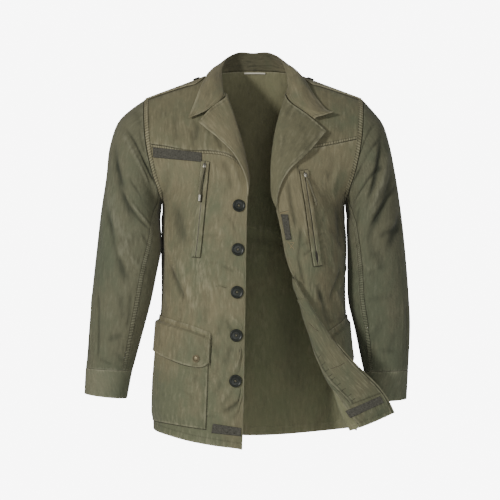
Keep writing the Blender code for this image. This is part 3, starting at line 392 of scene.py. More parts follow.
def bent(u, v, side):
    """Level of a front's row v at station u: the row at YOKE lies on the yoke seam."""
    drop = blend(YOKE_U, YOKE_AT[side], np.ravel(u)).reshape(np.shape(u)) - YOKE
    near = np.interp(np.abs(v - YOKE), (0.0, 18.0), (1.0, 0.0))
    apart = 1.1 * np.sign(v - YOKE) * near * np.exp(-((u - 215.0) / 22.0) ** 2)
    return v + apart + drop * np.interp(v, (0.0, YOKE, 330.0), (0.0, 1.0, 0.0))


# ---------------------------------------------------------------- sleeves
# A row for each ring down a sleeve: how far down, the outer side (x, z), the inner side
# (x, z), and how far it reaches forward and back (y). The first ring is the armhole.
SLEEVE_RIGHT = (
    (28, -236, -63, -177, -262, -72, 80), (58, -256, -84, -177, -271, -75, 78),
    (100, -272, -130, -176, -283, -76, 74), (150, -279, -190, -174.5, -300, -76, 69),
    (200, -288, -252, -174, -326, -77, 62), (262, -296, -325, -182, -368, -78, 52),
    (325, -303.5, -400, -193, -423, -80, 40), (385, -309, -468, -208, -480, -81, 26),
    (440, -312.5, -528, -223.5, -537, -82, 13), (466, -314.5, -549, -228, -553, -82, 7),
    (520, -317, -596, -238, -605, -82, 4),
)
SLEEVE_LEFT = (
    (28, 228, -65, 177, -262, -72, 80), (58, 244, -86, 177, -271, -75, 78),
    (100, 257, -125, 176, -283, -76, 74), (150, 268, -180, 176.5, -302, -76, 69),
    (200, 277, -240, 177, -330, -77, 62), (262, 285, -312, 177, -372, -78, 52),
    (325, 291.5, -395, 178.5, -423, -80, 40), (385, 294.5, -465, 190.5, -474, -81, 26),
    (440, 291.5, -530, 202.5, -532, -82, 13), (466, 290, -553, 207.5, -555, -82, 7),
    (520, 287, -606, 211, -610, -82, 4),
)
ROUND = np.arange(-180.0, 376.0, 15.0)
# Folds of the sleeves: (angle, down) to (angle, down), half width, height.
FOLDS_SLEEVE_RIGHT = (
    (30, 75, 105, 190, 9, -5.0), (20, 130, 100, 250, 12, 3.5), (60, 235, 128, 275, 12, 4.0),
    (-60, 90, -130, 210, 11, -4.5), (-40, 330, -120, 300, 14, -4.0), (10, 350, 20, 455, 8, -3.0),
)
FOLDS_SLEEVE_LEFT = (
    (35, 55, 110, 145, 9, -5.0), (20, 90, 115, 175, 9, 4.0), (20, 130, 120, 215, 10, -4.5),
    (15, 205, 80, 265, 12, -4.0), (-60, 90, -130, 210, 11, -4.5), (-50, 300, -125, 330, 14, -4.0),
)


def armhole(front, side):
    """Points round the armhole: over the top at 0, the front at 90, the underarm at 180."""
    turn = np.mod(ROUND, 360.0)
    fore = turn <= 180.0
    deep = blend((0, 90, 180), (0.0, 132.0, 251.0), np.where(fore, turn, 360.0 - turn))
    on_front = front.plain(np.zeros(len(turn)), deep)
    on_back = back.plain(np.full(len(turn), 190.0 * side), deep)
    points = np.where(fore[:, None], on_front, on_back)
    lift = 0.55 + 1.5 * (1.0 - np.cos(np.radians(turn))) / 2.0
    points[:, 0] += side * lift
    return points


def ring(row):
    """Points round a sleeve, from its outer side over the front to its inner side."""
    _, outer_x, outer_z, inner_x, inner_z, fore, aft = row
    turn = np.radians(ROUND)
    reach = np.sign(np.cos(turn)) * np.abs(np.cos(turn)) ** 0.94
    points = np.empty((len(turn), 3))
    points[:, 0] = (outer_x + inner_x) / 2.0 + (outer_x - inner_x) / 2.0 * reach
    # The inner side lies against the front of the flank, so it is further forward.
    ahead = np.interp(row[0], (28, 150, 300, 466), (0.0, 21.0, 21.0, 0.0))
    inward = ((1.0 - reach) / 2.0) ** np.where(np.sin(turn) < 0.0, 8.0, 2.0)
    points[:, 1] = (fore + aft) / 2.0 + (fore - aft) / 2.0 * np.sin(turn) - ahead * inward
    points[:, 2] = (outer_z + inner_z) / 2.0 + (outer_z - inner_z) / 2.0 * reach
    return points


def sleeve_sheet(front, table, side, folds):
    sections = [(0.0, ROUND, armhole(front, side))]
    sections += [(row[0], ROUND, ring(row)) for row in table]
    return Sheet(sections, side, folds)


sleeve_right = sleeve_sheet(front_right, SLEEVE_RIGHT, -1.0, FOLDS_SLEEVE_RIGHT)
sleeve_left = sleeve_sheet(front_left, SLEEVE_LEFT, 1.0, FOLDS_SLEEVE_LEFT)

# The front seam of a sleeve runs at this angle, the back seam at the other.
FRONT_SEAM = ((0, 120, 300, 466), (152, 140, 128, 136))
BACK_SEAM = ((0, 200, 466), (222, 232, 228))
HAND = 464.0

# ---------------------------------------------------------------- collar
# From the middle of the back round to the end: how far, then the middle of the stand, the
# roll line, the middle of the fall and its edge. The seam edge follows the neckline.
COLLAR_BACK = (
    (0, (0, 72, 37), (0, 68, 54), (0, 86, 33), (0, 97, 2)),
    (42, (-38, 63, 36), (-33, 58, 53), (-51, 74, 33), (-59, 84, 3)),
    (63, (-56, 41, 28), (-50, 38, 42), (-68, 48, 27), (-79, 54, 5)),
    (88, (-66, 9, 18), (-59, 6, 22), (-73, 2, 21), (-86, -4, 9)),
)
COLLAR_RIGHT = (
    (106, (-65, -13, 2.5), (-61, -16, 5), (-77, -23, 6.5), (-93, -26, -7)),
    (125, (-63, -33, -15), (-60, -36, -12), (-80, -44, -9), (-101, -42, -25)),
    (150, (-57, -59, -40), (-61, -63, -39), (-81, -67, -42), (-111, -58, -53)),
    (185, (-88, -77, -67), (-95, -76, -71), (-106, -75, -76), (-122, -74, -82)),
)
COLLAR_LEFT = (
    (106, (68, -13, 1), (64, -17, 3), (82, -23, 6), (98, -25, -8)),
    (125, (67, -33, -16), (66, -37, -14), (87, -43, -11), (110, -38, -30)),
    (150, (71, -59, -44), (75, -62, -44), (97, -63, -47), (129, -54, -57)),
    (195, (118, -77, -80), (126, -76, -78), (135, -75, -75), (148, -72, -70)),
)

# Where the collar's seam runs on the panels: how far round, then the panel's station.
SEAM_BACK = ((0, 63, 88), (0, 58, 84))
SEAM_RIGHT = ((88, 109, 127, 150, 185), (135, 161, 183, 213, 248))
SEAM_LEFT = ((88, 109, 127, 150, 195), (135, 161, 183, 213, 251))


def collar_seam(far):
    """The point of the collar's seam at a distance round from the middle of the back.

    Near the neck point it stands up from the neckline; on the lapel it runs on from it.
    """
    side = np.sign(far)
    if abs(far) < 88.0:
        return back.at(side * blend(*SEAM_BACK, [abs(far)]), [-1.4], 0.0)[0]
    panel, seam = (front_right, SEAM_RIGHT) if far < 0.0 else (front_left, SEAM_LEFT)
    u = blend(*seam, [abs(far)])
    upright = soft((150.0 - abs(far)) / 50.0)
    edge = panel.at(u, [0.0])[0] + (-2.6 * side, 0.4, 2.4)
    return edge * upright + panel.at(u, [-3.4])[0] * (1.0 - upright)


def collar_sheet():
    rows = [(-row[0], row[1:]) for row in (COLLAR_BACK + COLLAR_RIGHT)[::-1]]
    rows += [(row[0], mirrored(row[1:])) for row in COLLAR_BACK[1:]]
    rows += [(row[0], row[1:]) for row in COLLAR_LEFT]
    places = (0, 1, 2, 3, 4)
    return Sheet([(far, places, np.vstack([collar_seam(far), points])) for far, points in rows], -1.0)


collar = collar_sheet()


# ---------------------------------------------------------------- creases and puckers
# Finer folds in flat co-ordinates: from, to, half width, height, bow and lean.
CREASES_RIGHT = (
    (55, 351, 114, 424, 7, -4.1, 0, 0), (79, 319, 137, 447, 9, 2.7, 0, 0),
    (98, 430, 101, 462, 3, -1.7, 0, 0), (112, 98, 104, 132, 5, -3.7, 0, 0),
    (131, 107, 122, 148, 5, 2.2, 0, 0), (147, 115, 158, 141, 5, -2.2, 0, 0),
    (164, 239, 200, 263, 4, -1.9, 2, 0), (137, 293, 169, 278, 3, -1.5, 0, 0),
    (100, 288, 128, 297, 4, 1.2, 0, 0), (134, 344, 173, 330, 3, -1.7, 1, 0),
    (174, 332, 200, 333, 3, -2, 0, 0), (182, 324, 262, 337, 3.5, 1.9, 0, 0),
    (168, 373, 192, 365, 1.6, -1.9, 0, 0), (187, 414, 254, 437, 3, 2.9, 0, 0.3),
    (184, 425, 204, 452, 4, -2.5, 0, 0), (182, 413, 171, 472, 4, -2.2, 0, 0),
    (178, 392, 174, 453, 4, 1.5, 0, 0), (235, 461, 194, 521, 4, 2.9, 2, 0),
    (202, 465, 184, 517, 5, -2.5, 0, 0), (266, 473, 204, 524, 4, -2, 0, 0),
    (247, 543, 184, 606, 5, -4.4, 0, 0.3), (202, 543, 180, 594, 3.5, 2.7, 0, 0),
    (274, 556, 196, 614, 4, -2.4, 0, 0), (158, 618, 178, 616, 3, -1.5, 0, 0),
    (-37, 234, 45, 314, 6, 1.7, 0, 0), (46, 160, 9, 218, 8, -1.7, 0, 0),
    (156, 152, 171, 206, 7, -2.4, 3, 0), (137, 160, 146, 215, 6, 1.4, 0, 0),
    (170, 153, 198, 203, 6, 1.9, 3, 0), (114, 544, 151, 546, 6, -3.7, 0, 0),
    (125, 561, 157, 562, 5, 2, 0, 0), (102, 587, 152, 595, 5, -3.7, 2, 0),
    (83, 611, 143, 574, 5, 1.7, 0, 0), (117, 619, 151, 599, 4, -2.4, 0, 0),
    (51, 573, 94, 582, 6, 1.7, 0, 0), (73, 626, 116, 639, 5, -1.7, 0, 0),
    (84, 476, 103, 507, 6, -1.4, 0, 0), (126, 476, 119, 513, 5, 1.5, 0, 0),
    (30, 503, -30, 526, 3, -2.4, 0, 0), (160, 474, 180, 509, 4, -1.7, 0, 0),
    (170, 521, 166, 572, 5, 1.5, 0, 0), (186, 541, 169, 582, 4, -1.7, 0, 0),
    (159, 263, 172, 305, 4, 1.4, 0, 0), (44, 405, 75, 456, 5, 1.5, 0, 0),
    (152, 406, 148, 456, 6, -1.5, 0, 0), (89, 215, 125, 277, 6, 1, 0, 0), (44, 85, 31, 119, 5, 1.4, 0, 0),
    (64, 71, 68, 130, 6, -2, 0, 0), (86, 97, 93, 137, 5, 1.7, 0, 0), (98, 105, 99, 142, 4, -2.4, 0, 0),
    (29, 54, 54, 76, 6, -1.2, 0, 0),
)

CREASES_LEFT = (
    (147, 168, 117, 195, 4, -2.7, 0, 0), (173, 178, 187, 267, 8, -3.6, -4, 0),
    (137, 208, 164, 289, 7, 2, 0, 0), (161, 262, 215, 314, 6, -2.8, 0, 0),
    (185, 291, 158, 295, 2.2, -2.2, 0, 0), (188, 308, 157, 310, 2.2, -2.2, 0, 0),
    (138, 290, 107, 292, 1.8, -1.2, 0, 0), (141, 302, 111, 307, 1.8, -1.2, 0, 0),
    (146, 313, 108, 317, 1.8, -1, 0, 0), (211, 305, 182, 373, 6, -3.3, 0, 0),
    (152, 373, 136, 414, 5, -2.2, 0, 0), (65, 358, 122, 419, 6, -3.3, 2, 0),
    (16, 352, 93, 404, 3.5, 2.1, 0, 0), (150, 383, 130, 460, 8, -3.3, -2, 0),
    (107, 394, 61, 455, 6, 3, 0, 0), (168, 369, 139, 431, 5, 2.1, 0, 0), (144, 430, 93, 459, 4, 1.8, 0, 0),
    (134, 449, 71, 455, 3, -2, 0, 0), (59, 138, 55, 197, 8, -1.5, 0, 0), (42, 152, 54, 260, 7, 1.5, 0, 0),
    (73, 195, 104, 279, 8, 1.4, 0, 0), (70, 231, 125, 287, 5, -1.4, 0, 0),
    (128, 242, 140, 284, 4, 1.2, 0, 0), (113, 323, 99, 374, 5, 1.4, 0, 0),
    (187, 341, 165, 401, 4, 1.8, 0, 0), (58, 93, 37, 101, 7, -1.2, 0, 0),
    (101, 279, 52, 329, 5, -1.5, 2, 0),
)

CREASES_SLEEVE_RIGHT = (
    (39, 49, 148, -15, 3, -4.8, -3, 0.35), (32, 59, 121, 27, 5, 3.4, -4, 0),
    (85, 32, 119, -10, 2, -2.5, 0, 0), (83, 13, 131, -35, 2.5, 2.4, 0, 0),
    (93, 9, 134, -23, 2.2, -2.5, 0, 0), (55, 13, 89, 9, 3, -1.7, 0, 0), (41, 110, 62, 136, 2.5, 1.3, 0, 0),
    (36, 183, 100, 309, 7, -5, 3, 0.2), (59, 128, 133, 152, 7, 4.2, -6, 0),
    (84, 153, 130, 161, 5, -3.9, -4, 0), (81, 99, 108, 94, 5, -2.2, 0, 0),
    (83, 243, 116, 277, 4.5, -3.9, 0, 0), (40, 318, 63, 448, 3.2, -3.9, 2, 0.3),
    (11, 317, 41, 446, 4, 2.2, 0, 0), (26, 200, 50, 261, 5, 1.5, 0, 0), (79, 404, 112, 393, 5, -2.7, 0, 0),
    (64, 437, 101, 450, 4, -2.2, 0, 0), (98, 422, 129, 440, 4, -1.8, 0, 0),
    (109, 307, 118, 387, 4, -2.5, 0, 0), (58, 213, 86, 266, 6, 2, 0, 0), (94, 202, 87, 243, 5, 1.7, 0, 0),
    (69, 337, 87, 390, 6, 1.5, 0, 0), (86, 316, 107, 370, 6, -1.7, 0, 0), (19, 20, 56, 5, 5, -1.4, 0, 0),
    (112, 186, 133, 212, 4, -2.2, 0, 0),
)

CREASES_SLEEVE_LEFT = (
    (31, 46, 117, -22, 2.6, -3.9, 0, 0.3), (49, 30, 107, -21, 2, 2, 0, 0),
    (39, 75, 127, 0, 3.2, -4.5, 0, 0.3), (60, 54, 97, 24, 2.2, 2.4, 0, 0),
    (60, 78, 106, 37, 2.6, 2.5, 0, 0), (45, 131, 137, 43, 3.6, -5.3, 2, 0.35),
    (84, 110, 127, 57, 2.2, 2.5, 0, 0), (41, 146, 116, 123, 5, 2.2, 0, 0),
    (16, 167, 105, 188, 4.5, -4.8, 4, 0), (46, 162, 109, 168, 4.5, 2, 0, 0),
    (90, 222, 24, 239, 5.5, -3.6, 0, 0), (81, 209, 37, 224, 5, 1.7, 0, 0),
    (105, 195, 97, 266, 6, -2.8, 0, 0), (93, 244, 78, 292, 7, -2.8, 0, 0),
    (125, 259, 82, 290, 5, 1.8, 0, 0), (114, 284, 79, 281, 4, -2.2, 0, 0),
    (115, 330, 58, 335, 6, -2.1, 0, 0), (98, 372, 144, 412, 3.2, 2, 0, 0),
    (85, 370, 125, 415, 6, -2.2, 0, 0), (68, 392, 83, 433, 6, -2, 0, 0), (34, 345, 33, 442, 3, -3.1, 0, 0),
    (42, 325, 51, 424, 4, 1.7, 0, 0), (135, 388, 145, 445, 3, -1.7, 0, 0), (110, 422, 61, 427, 4, -2, 0, 0),
    (125, 436, 80, 446, 3.5, 1.4, 0, 0), (38, 263, 35, 313, 5, 1.4, 0, 0),
    (119, 99, 136, 163, 5, -2.5, 0, 0),
)

CREASES_BACK = (
    (-120, 60, -100, 150, 8, -1.8, 4, 0), (112, 70, 96, 160, 8, -2, -4, 0),
    (-40, 90, -52, 210, 12, 1.5, 0, 0), (34, 110, 50, 230, 11, 1.4, 0, 0),
    (-170, 262, -96, 330, 6, -3.6, 5, 0.3), (-176, 286, -110, 372, 6, -2.7, 3, 0),
    (-168, 276, -104, 350, 5, 2.1, 4, 0), (174, 258, 92, 334, 6, -3.9, -5, -0.3),
    (170, 290, 118, 366, 6, -2.5, -3, 0), (168, 274, 100, 350, 5, 2.2, -4, 0),
    (-30, 300, 46, 312, 7, -2.4, 3, 0), (-52, 340, 28, 356, 8, -2.5, -4, 0),
    (-20, 322, 60, 338, 7, 1.7, 3, 0), (60, 352, 130, 340, 6, -2.1, 3, 0),
    (-132, 352, -70, 366, 6, -2, -3, 0), (-120, 430, -98, 540, 9, -2.4, 4, 0),
    (-96, 440, -80, 566, 9, 1.8, 4, 0), (20, 430, 8, 560, 12, -2, 0, 0),
    (86, 420, 104, 556, 9, -2.4, -4, 0), (120, 446, 132, 600, 9, 1.8, 0, 0),
    (-20, 520, -34, 640, 10, 1.5, 0, 0), (-150, 560, -136, 650, 7, -1.8, 0, 0),
    (150, 550, 140, 652, 7, -2, 0, 0), (-8, 20, 2, 70, 8, -1.4, 0, 0),
)

# No fold stands out where a sleeve lies against the flank.
sleeve_right.calm = sleeve_left.calm = 0.9
# Folds round the backs of the sleeves, at angles above 180.
BEHIND_RIGHT = (
    (262, 60, 232, 128, 5, -3.6, 4, 0.2), (268, 84, 238, 150, 5, 2.2, 4, 0),
    (300, 120, 246, 186, 6, -3.4, 5, 0), (318, 190, 262, 224, 7, -3.1, 4, 0),
    (322, 222, 268, 250, 6, 2.1, 4, 0), (300, 250, 250, 262, 6, -3.4, 3, 0),
    (330, 280, 268, 296, 7, -2.8, -3, 0), (300, 312, 248, 330, 6, -2.2, 3, 0),
    (330, 340, 318, 440, 5, -2.4, 2, 0.2), (270, 372, 262, 448, 5, -2.1, 0, 0),
    (250, 420, 240, 460, 4, -1.7, 0, 0), (296, 430, 292, 462, 4, 1.4, 0, 0),
)
BEHIND_LEFT = (
    (266, 56, 230, 120, 5, -3.4, 4, 0.2), (276, 92, 240, 158, 5, 2.1, 4, 0),
    (304, 132, 242, 196, 6, -3.6, 5, 0), (312, 176, 258, 214, 7, -2.8, 4, 0),
    (326, 216, 262, 240, 6, 2.2, 4, 0), (296, 244, 246, 270, 6, -3.1, 3, 0),
    (334, 276, 262, 302, 7, -3.1, -3, 0), (306, 322, 252, 336, 6, -2.1, 3, 0),
    (326, 352, 320, 446, 5, -2.2, 2, 0.2), (274, 380, 258, 452, 5, -2.2, 0, 0),
    (288, 424, 284, 462, 4, 1.3, 0, 0),
)
front_right.folds += CREASES_RIGHT
front_left.folds += CREASES_LEFT
def softened(creases, share):
    return tuple(row[:5] + (row[5] * share,) + row[6:] for row in creases)


sleeve_right.folds += softened(CREASES_SLEEVE_RIGHT, 0.8) + BEHIND_RIGHT
sleeve_left.folds += softened(CREASES_SLEEVE_LEFT, 0.62) + BEHIND_LEFT
back.folds += CREASES_BACK
HEM, FOOT = 659.0, 672.0
SEAM_PUCKERS = (("u", 666, 4, 262, 0.22), ("u", YOKE + 2, 4, 200, 0.12))
front_right.puckers = (("v", 268, 170, FOOT, 0.16), ("v", 229, 200, 660, 0.14)) + SEAM_PUCKERS
front_left.puckers = (("v", 268, 20, FOOT, 0.16), ("v", 229, 300, 660, 0.22)) + SEAM_PUCKERS
back.grooves = (("u", HEM, -188, 188, 0.5),)
front_right.grooves = (("v", 265.6, 120, FOOT, 0.45), ("v", 229, 190, 664, 0.45), ("u", HEM, 0, 266, 0.5),
                       ("u", 5, 214, 268, 0.4), ("v", 265.6, -8, 130, 0.45))
front_left.grooves = (("v", 265.6, -8, FOOT, 0.45), ("v", 229, 300, 664, 0.55), ("u", HEM, 0, 266, 0.5),
                      ("u", 5, 214, 268, 0.4))
back.puckers = (("u", 666, -186, 186, 0.25), ("v", 187, 255, 668, 0.15), ("v", -187, 255, 668, 0.15))


# ---------------------------------------------------------------- pieces on the panels
def find(sheet, x, z, u, v):
    """Flat places of the points of a sheet that lie at x and z, from a first guess."""
    x, z = np.broadcast_arrays(np.asarray(x, float), np.asarray(z, float))
    shape = x.shape
    x, z = x.ravel(), z.ravel()
    u = np.full(len(x), float(u))
    v = np.full(len(x), float(v))
    for _ in range(14):
        here = sheet.plain(u, v)
        by_u = sheet.plain(u + 1.0, v) - here
        by_v = sheet.plain(u, v + 1.0) - here
        miss_x, miss_z = x - here[:, 0], z - here[:, 2]
        det = by_u[:, 0] * by_v[:, 2] - by_v[:, 0] * by_u[:, 2]
        det = np.where(np.abs(det) < 0.05, 0.05 * np.sign(det + 1e-9), det)
        u += np.clip((miss_x * by_v[:, 2] - miss_z * by_v[:, 0]) / det, -25.0, 25.0)
        v += np.clip((miss_z * by_u[:, 0] - miss_x * by_u[:, 2]) / det, -25.0, 25.0)
    return u.reshape(shape), v.reshape(shape)


def corner_grid(corners, across, down):
    """Places between four corners: top outer, top inner, bottom inner, bottom outer."""
    a, b, c, d = (np.asarray(corner, float) for corner in corners)
    s, t = np.meshgrid(across, down)
    s, t = s[..., None], t[..., None]
    return a * (1 - s) * (1 - t) + b * s * (1 - t) + c * s * t + d * (1 - s) * t


def even(steps):
    return np.linspace(0.0, 1.0, steps + 1)


def flat_patch(sheet, corners, across, down):
    """Flat places of a patch whose corners are given by (x, z)."""
    grid = corner_grid(corners, across, down)
    mean = grid.reshape(-1, 2).mean(axis=0)
    guess_u, guess_v = 110.0, float(np.clip(-mean[1] - 20.0, 60.0, 640.0))
    return find(sheet, grid[..., 0], grid[..., 1], guess_u, guess_v)


# Shoulder straps: over the crest, from the armhole to a point under the collar. The first
# number is the station on the front; its reach forward and back over the crest follows.
STRAP = ((4, 24, 24), (45, 25, 24), (85, 26, 24), (108, 25, 23), (119, 12, 11))

# Breast zips by (x, z): the top and the foot of the opening, and half its width.
ZIPS = {
    "right": (front_right, (-88.5, -168), (-104, -337), 3.6),
    "left": (front_left, (92.5, -184), (116, -353), 3.6),
}
# The pulls hang beside the zip: from the slider's eye to the knot, by (x, z).
PULLS = {"right": ((-89.2, -173), (-96.5, -238)), "left": ((94, -190), (111, -246))}


# ---------------------------------------------------------------- meshes
def rows_of(sheet, us, vs, out=0.0, follow=None):
    """Points of a sheet on a grid of stations; follow names the side whose yoke seam the rows follow."""
    u, v = np.meshgrid(us, vs)
    if follow is not None:
        v = bent(u, v, follow)
    return sheet.at(u, v, out)


def grid_normals(points, side):
    """Normal at each point of a grid: the mean of those of the faces about it."""
    one = points[1:, 1:] - points[:-1, :-1]
    other = points[:-1, 1:] - points[1:, :-1]
    n = np.cross(other, one) * side
    n /= np.maximum(np.linalg.norm(n, axis=2), 1e-9)[:, :, None]
    n = np.pad(n, ((1, 1), (1, 1), (0, 0)), mode="edge")
    mean = n[:-1, :-1] + n[1:, :-1] + n[:-1, 1:] + n[1:, 1:]
    return mean / np.maximum(np.linalg.norm(mean, axis=2), 1e-9)[:, :, None]


def closer(start, stop, step, *near):
    """Stations from start to stop, step apart, and closer about each (place, reach, step)."""
    out = [start]
    while out[-1] < stop - 1e-6:
        here = out[-1]
        size = step
        for place, reach, fine in near:
            gap = max(abs(here - place) - reach, 0.0)
            size = min(size, fine + 0.35 * gap)
        out.append(here + size)
    out = np.array(out)
    return start + (out - start) * (stop - start) / (out[-1] - start)


def mesh_object(name, points, faces, materials, smooth=True):
    mesh = bpy.data.meshes.new(name)
    faces = faces.tolist() if isinstance(faces, np.ndarray) else faces
    mesh.from_pydata((np.asarray(points, float) * MM).tolist(), [], faces)
    for material in materials:
        mesh.materials.append(material)
    if smooth:
        mesh.shade_smooth()
    made = linked(name, mesh)
    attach(made, "root")
    return made


def flat_map(made, places, values=None, folds=None):
    """Keeps each point's flat co-ordinates (in metres), its wear with painted highlight, and its painted shading of
    folds and stitched lines, on the mesh.
    """
    mesh = made.data
    loops = np.empty(len(mesh.loops), int)
    mesh.loops.foreach_get("vertex_index", loops)
    layer = mesh.uv_layers.new(name="cloth")
    layer.data.foreach_set("uv", (places[loops] * MM).ravel())
    if values is not None:
        worn = mesh.attributes.new("worn", "FLOAT", "POINT")
        worn.data.foreach_set("value", values.astype(np.float32))
    if folds is not None:
        height = mesh.attributes.new("fold", "FLOAT", "POINT")
        height.data.foreach_set("value", folds.astype(np.float32))


GRIDS = {}


def shell(name, nodes, mid, places, side, materials, thick=CLOTH, worn=None, fold=None):
    """Cloth about a middle grid: an outer and an inner layer and a rounded rim.

    The layers lie half the thickness to each side of the grid; at the rim they draw in by
    a third of it, so that the edge is round. places are the flat co-ordinates of the grid.
    """
    rows, columns = mid.shape[:2]
    n = grid_normals(mid, side)
    half = thick * 0.5
    inset = mid.copy()
    pull = np.zeros(mid.shape)
    for edge, inner in ((np.s_[0], np.s_[1]), (np.s_[-1], np.s_[-2])):
        for a, b in ((np.s_[edge, :], np.s_[inner, :]), (np.s_[:, edge], np.s_[:, inner])):
            lead = mid[b] - mid[a]
            reach = np.linalg.norm(lead, axis=-1, keepdims=True)
            pull[a] += lead / np.maximum(reach, 1e-9) * np.minimum(half * 0.6, reach * 0.4)
    inset = mid + pull
    outer, inner = inset + n * half, inset - n * half
    GRIDS[name] = (mid + n * half, n, places)
    count = rows * columns
    first = np.arange(count).reshape(rows, columns)
    quads = np.stack([first[:-1, :-1], first[1:, :-1], first[1:, 1:], first[:-1, 1:]], axis=-1).reshape(-1, 4)
    if side < 0:
        quads = quads[:, ::-1]
    ring = np.concatenate([first[0, :-1], first[:-1, -1], first[-1, :0:-1], first[:0:-1, 0]])
    following = np.roll(ring, -1)
    rim = 2 * count + np.arange(len(ring))
    rim_next = np.roll(rim, -1)
    up = np.stack([ring, rim, rim_next, following], axis=-1)
    down = np.stack([rim, ring + count, following + count, rim_next], axis=-1)
    if side > 0:
        up, down = up[:, ::-1], down[:, ::-1]
    faces = np.concatenate([quads, quads[:, ::-1] + count, up, down])
    points = np.concatenate([outer.reshape(-1, 3), inner.reshape(-1, 3), mid.reshape(-1, 3)[ring]])
    made = mesh_object(name, points, faces, materials)
    flat = places.reshape(-1, 2)
    # Wear pales the colour, with painted highlight on seam puckers; the shading value paints shade in hollows and
    # lightens crests, turned over on the inner layer.
    marks = np.zeros(count) if worn is None else np.asarray(worn, float).ravel()
    shaded_by = np.zeros(count) if fold is None else np.asarray(fold, float).ravel()
    flat_map(made, np.concatenate([flat, flat, flat[ring]]), np.concatenate([marks, marks, marks[ring] + 0.5]),
             np.concatenate([shaded_by, -shaded_by, shaded_by[ring]]))
    if len(materials) > 1:
        index = np.zeros(len(faces), np.int32)
        index[len(quads):2 * len(quads)] = 1
        made.data.polygons.foreach_set("material_index", index)
    if nodes:
        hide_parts(*nodes)
    return made


# ---------------------------------------------------------------- materials
class Signal:
    """A socket that can stand in sums: each operation on it adds one Math node."""

    def __init__(self, finish, socket):
        self.finish = finish
        self.socket = socket

    def math(self, operation, *values, clamp=False):
        return self.finish.node("ShaderNodeMath", {"operation": operation, "use_clamp": clamp}, self, *values)

    def __add__(self, other):
        return self.math("ADD", other)

    __radd__ = __add__

    def __mul__(self, other):
        return self.math("MULTIPLY", other)

    __rmul__ = __mul__

    def __sub__(self, other):
        return self.math("SUBTRACT", other)

    def __rsub__(self, other):
        return self.finish.node("ShaderNodeMath", {"operation": "SUBTRACT"}, other, self)

    def __truediv__(self, other):
        return self.math("DIVIDE", other)

    def __pow__(self, other):
        return self.math("POWER", other)

    def sine(self):
        return self.math("SINE")

    def clamped(self):
        return self.math("ADD", 0.0, clamp=True)


class Finish:
    """A material for one finish, with its shader and the calls that add its nodes."""

    def __init__(self, name, rough=0.9, sheen=0.0, **fixed):
        self.material = bpy.data.materials.new(name)
        self.material.use_nodes = True
        self.tree = self.material.node_tree
        self.shader = self.tree.nodes["Principled BSDF"]
        self.shader.inputs["Roughness"].default_value = rough
        self.shader.inputs["Sheen Weight"].default_value = sheen
        for label, value in fixed.items():
            self.shader.inputs[label.replace("_", " ")].default_value = value

    def feed(self, socket, value):
        if isinstance(value, Signal):
            self.tree.links.new(value.socket, socket)
        elif isinstance(value, tuple) and len(value) == 3 and socket.type == "RGBA":
            socket.default_value = value + (1.0,)
        else:
            socket.default_value = value

    def node(self, kind, settings, *values, output=0, **named):
        """A node of a kind: its settings first, then its sockets in order or by name."""
        made = self.tree.nodes.new(kind)
        for label, value in settings.items():
            if label == "stops":
                ramp = made.color_ramp
                while len(ramp.elements) < len(value):
                    ramp.elements.new(0.5)
                for element, (place, colour) in zip(ramp.elements, value):
                    element.position, element.color = place, colour + (1.0,)
            else:
                setattr(made, label, value)
        for socket, value in zip(made.inputs, values):
            self.feed(socket, value)
        for label, value in named.items():
            self.feed(made.inputs[label.replace("_", " ")], value)
        return Signal(self, made.outputs[output])

    def space(self):
        return self.node("ShaderNodeTexCoord", {}, output="Object")

    def flat(self):
        return self.node("ShaderNodeUVMap", {"uv_map": "cloth"})

    def noise(self, at, scale, detail=3.0, rough=0.55, squash=(1.0, 1.0, 1.0)):
        """Smooth noise about 0.5, squashed along the axes of its co-ordinates."""
        if squash != (1.0, 1.0, 1.0):
            at = self.node("ShaderNodeMapping", {}, Vector=at, Scale=squash)
        return self.node("ShaderNodeTexNoise", {}, Vector=at, Scale=scale, Detail=detail, Roughness=rough)

    def mix(self, share, first, second):
        """Colour between two colours, by a share."""
        made = self.tree.nodes.new("ShaderNodeMix")
        made.data_type = "RGBA"
        for socket, value in ((made.inputs[0], share), (made.inputs[6], first), (made.inputs[7], second)):
            self.feed(socket, value)
        return Signal(self, made.outputs[2])

    def attribute(self, name):
        return self.node("ShaderNodeAttribute", {"attribute_name": name}, output="Fac")

    def bump(self, height, distance, strength=1.0, normal=None):
        named = {"Height": height, "Distance": distance, "Strength": strength}
        if normal is not None:
            named["Normal"] = normal
        return self.node("ShaderNodeBump", {}, **named)

    def close(self, colour=None, rough=None, normal=None, metal=None):
        for label, value in (("Base Color", colour), ("Roughness", rough), ("Normal", normal), ("Metallic", metal)):
            if value is not None:
                self.feed(self.shader.inputs[label], value)
        return self.material


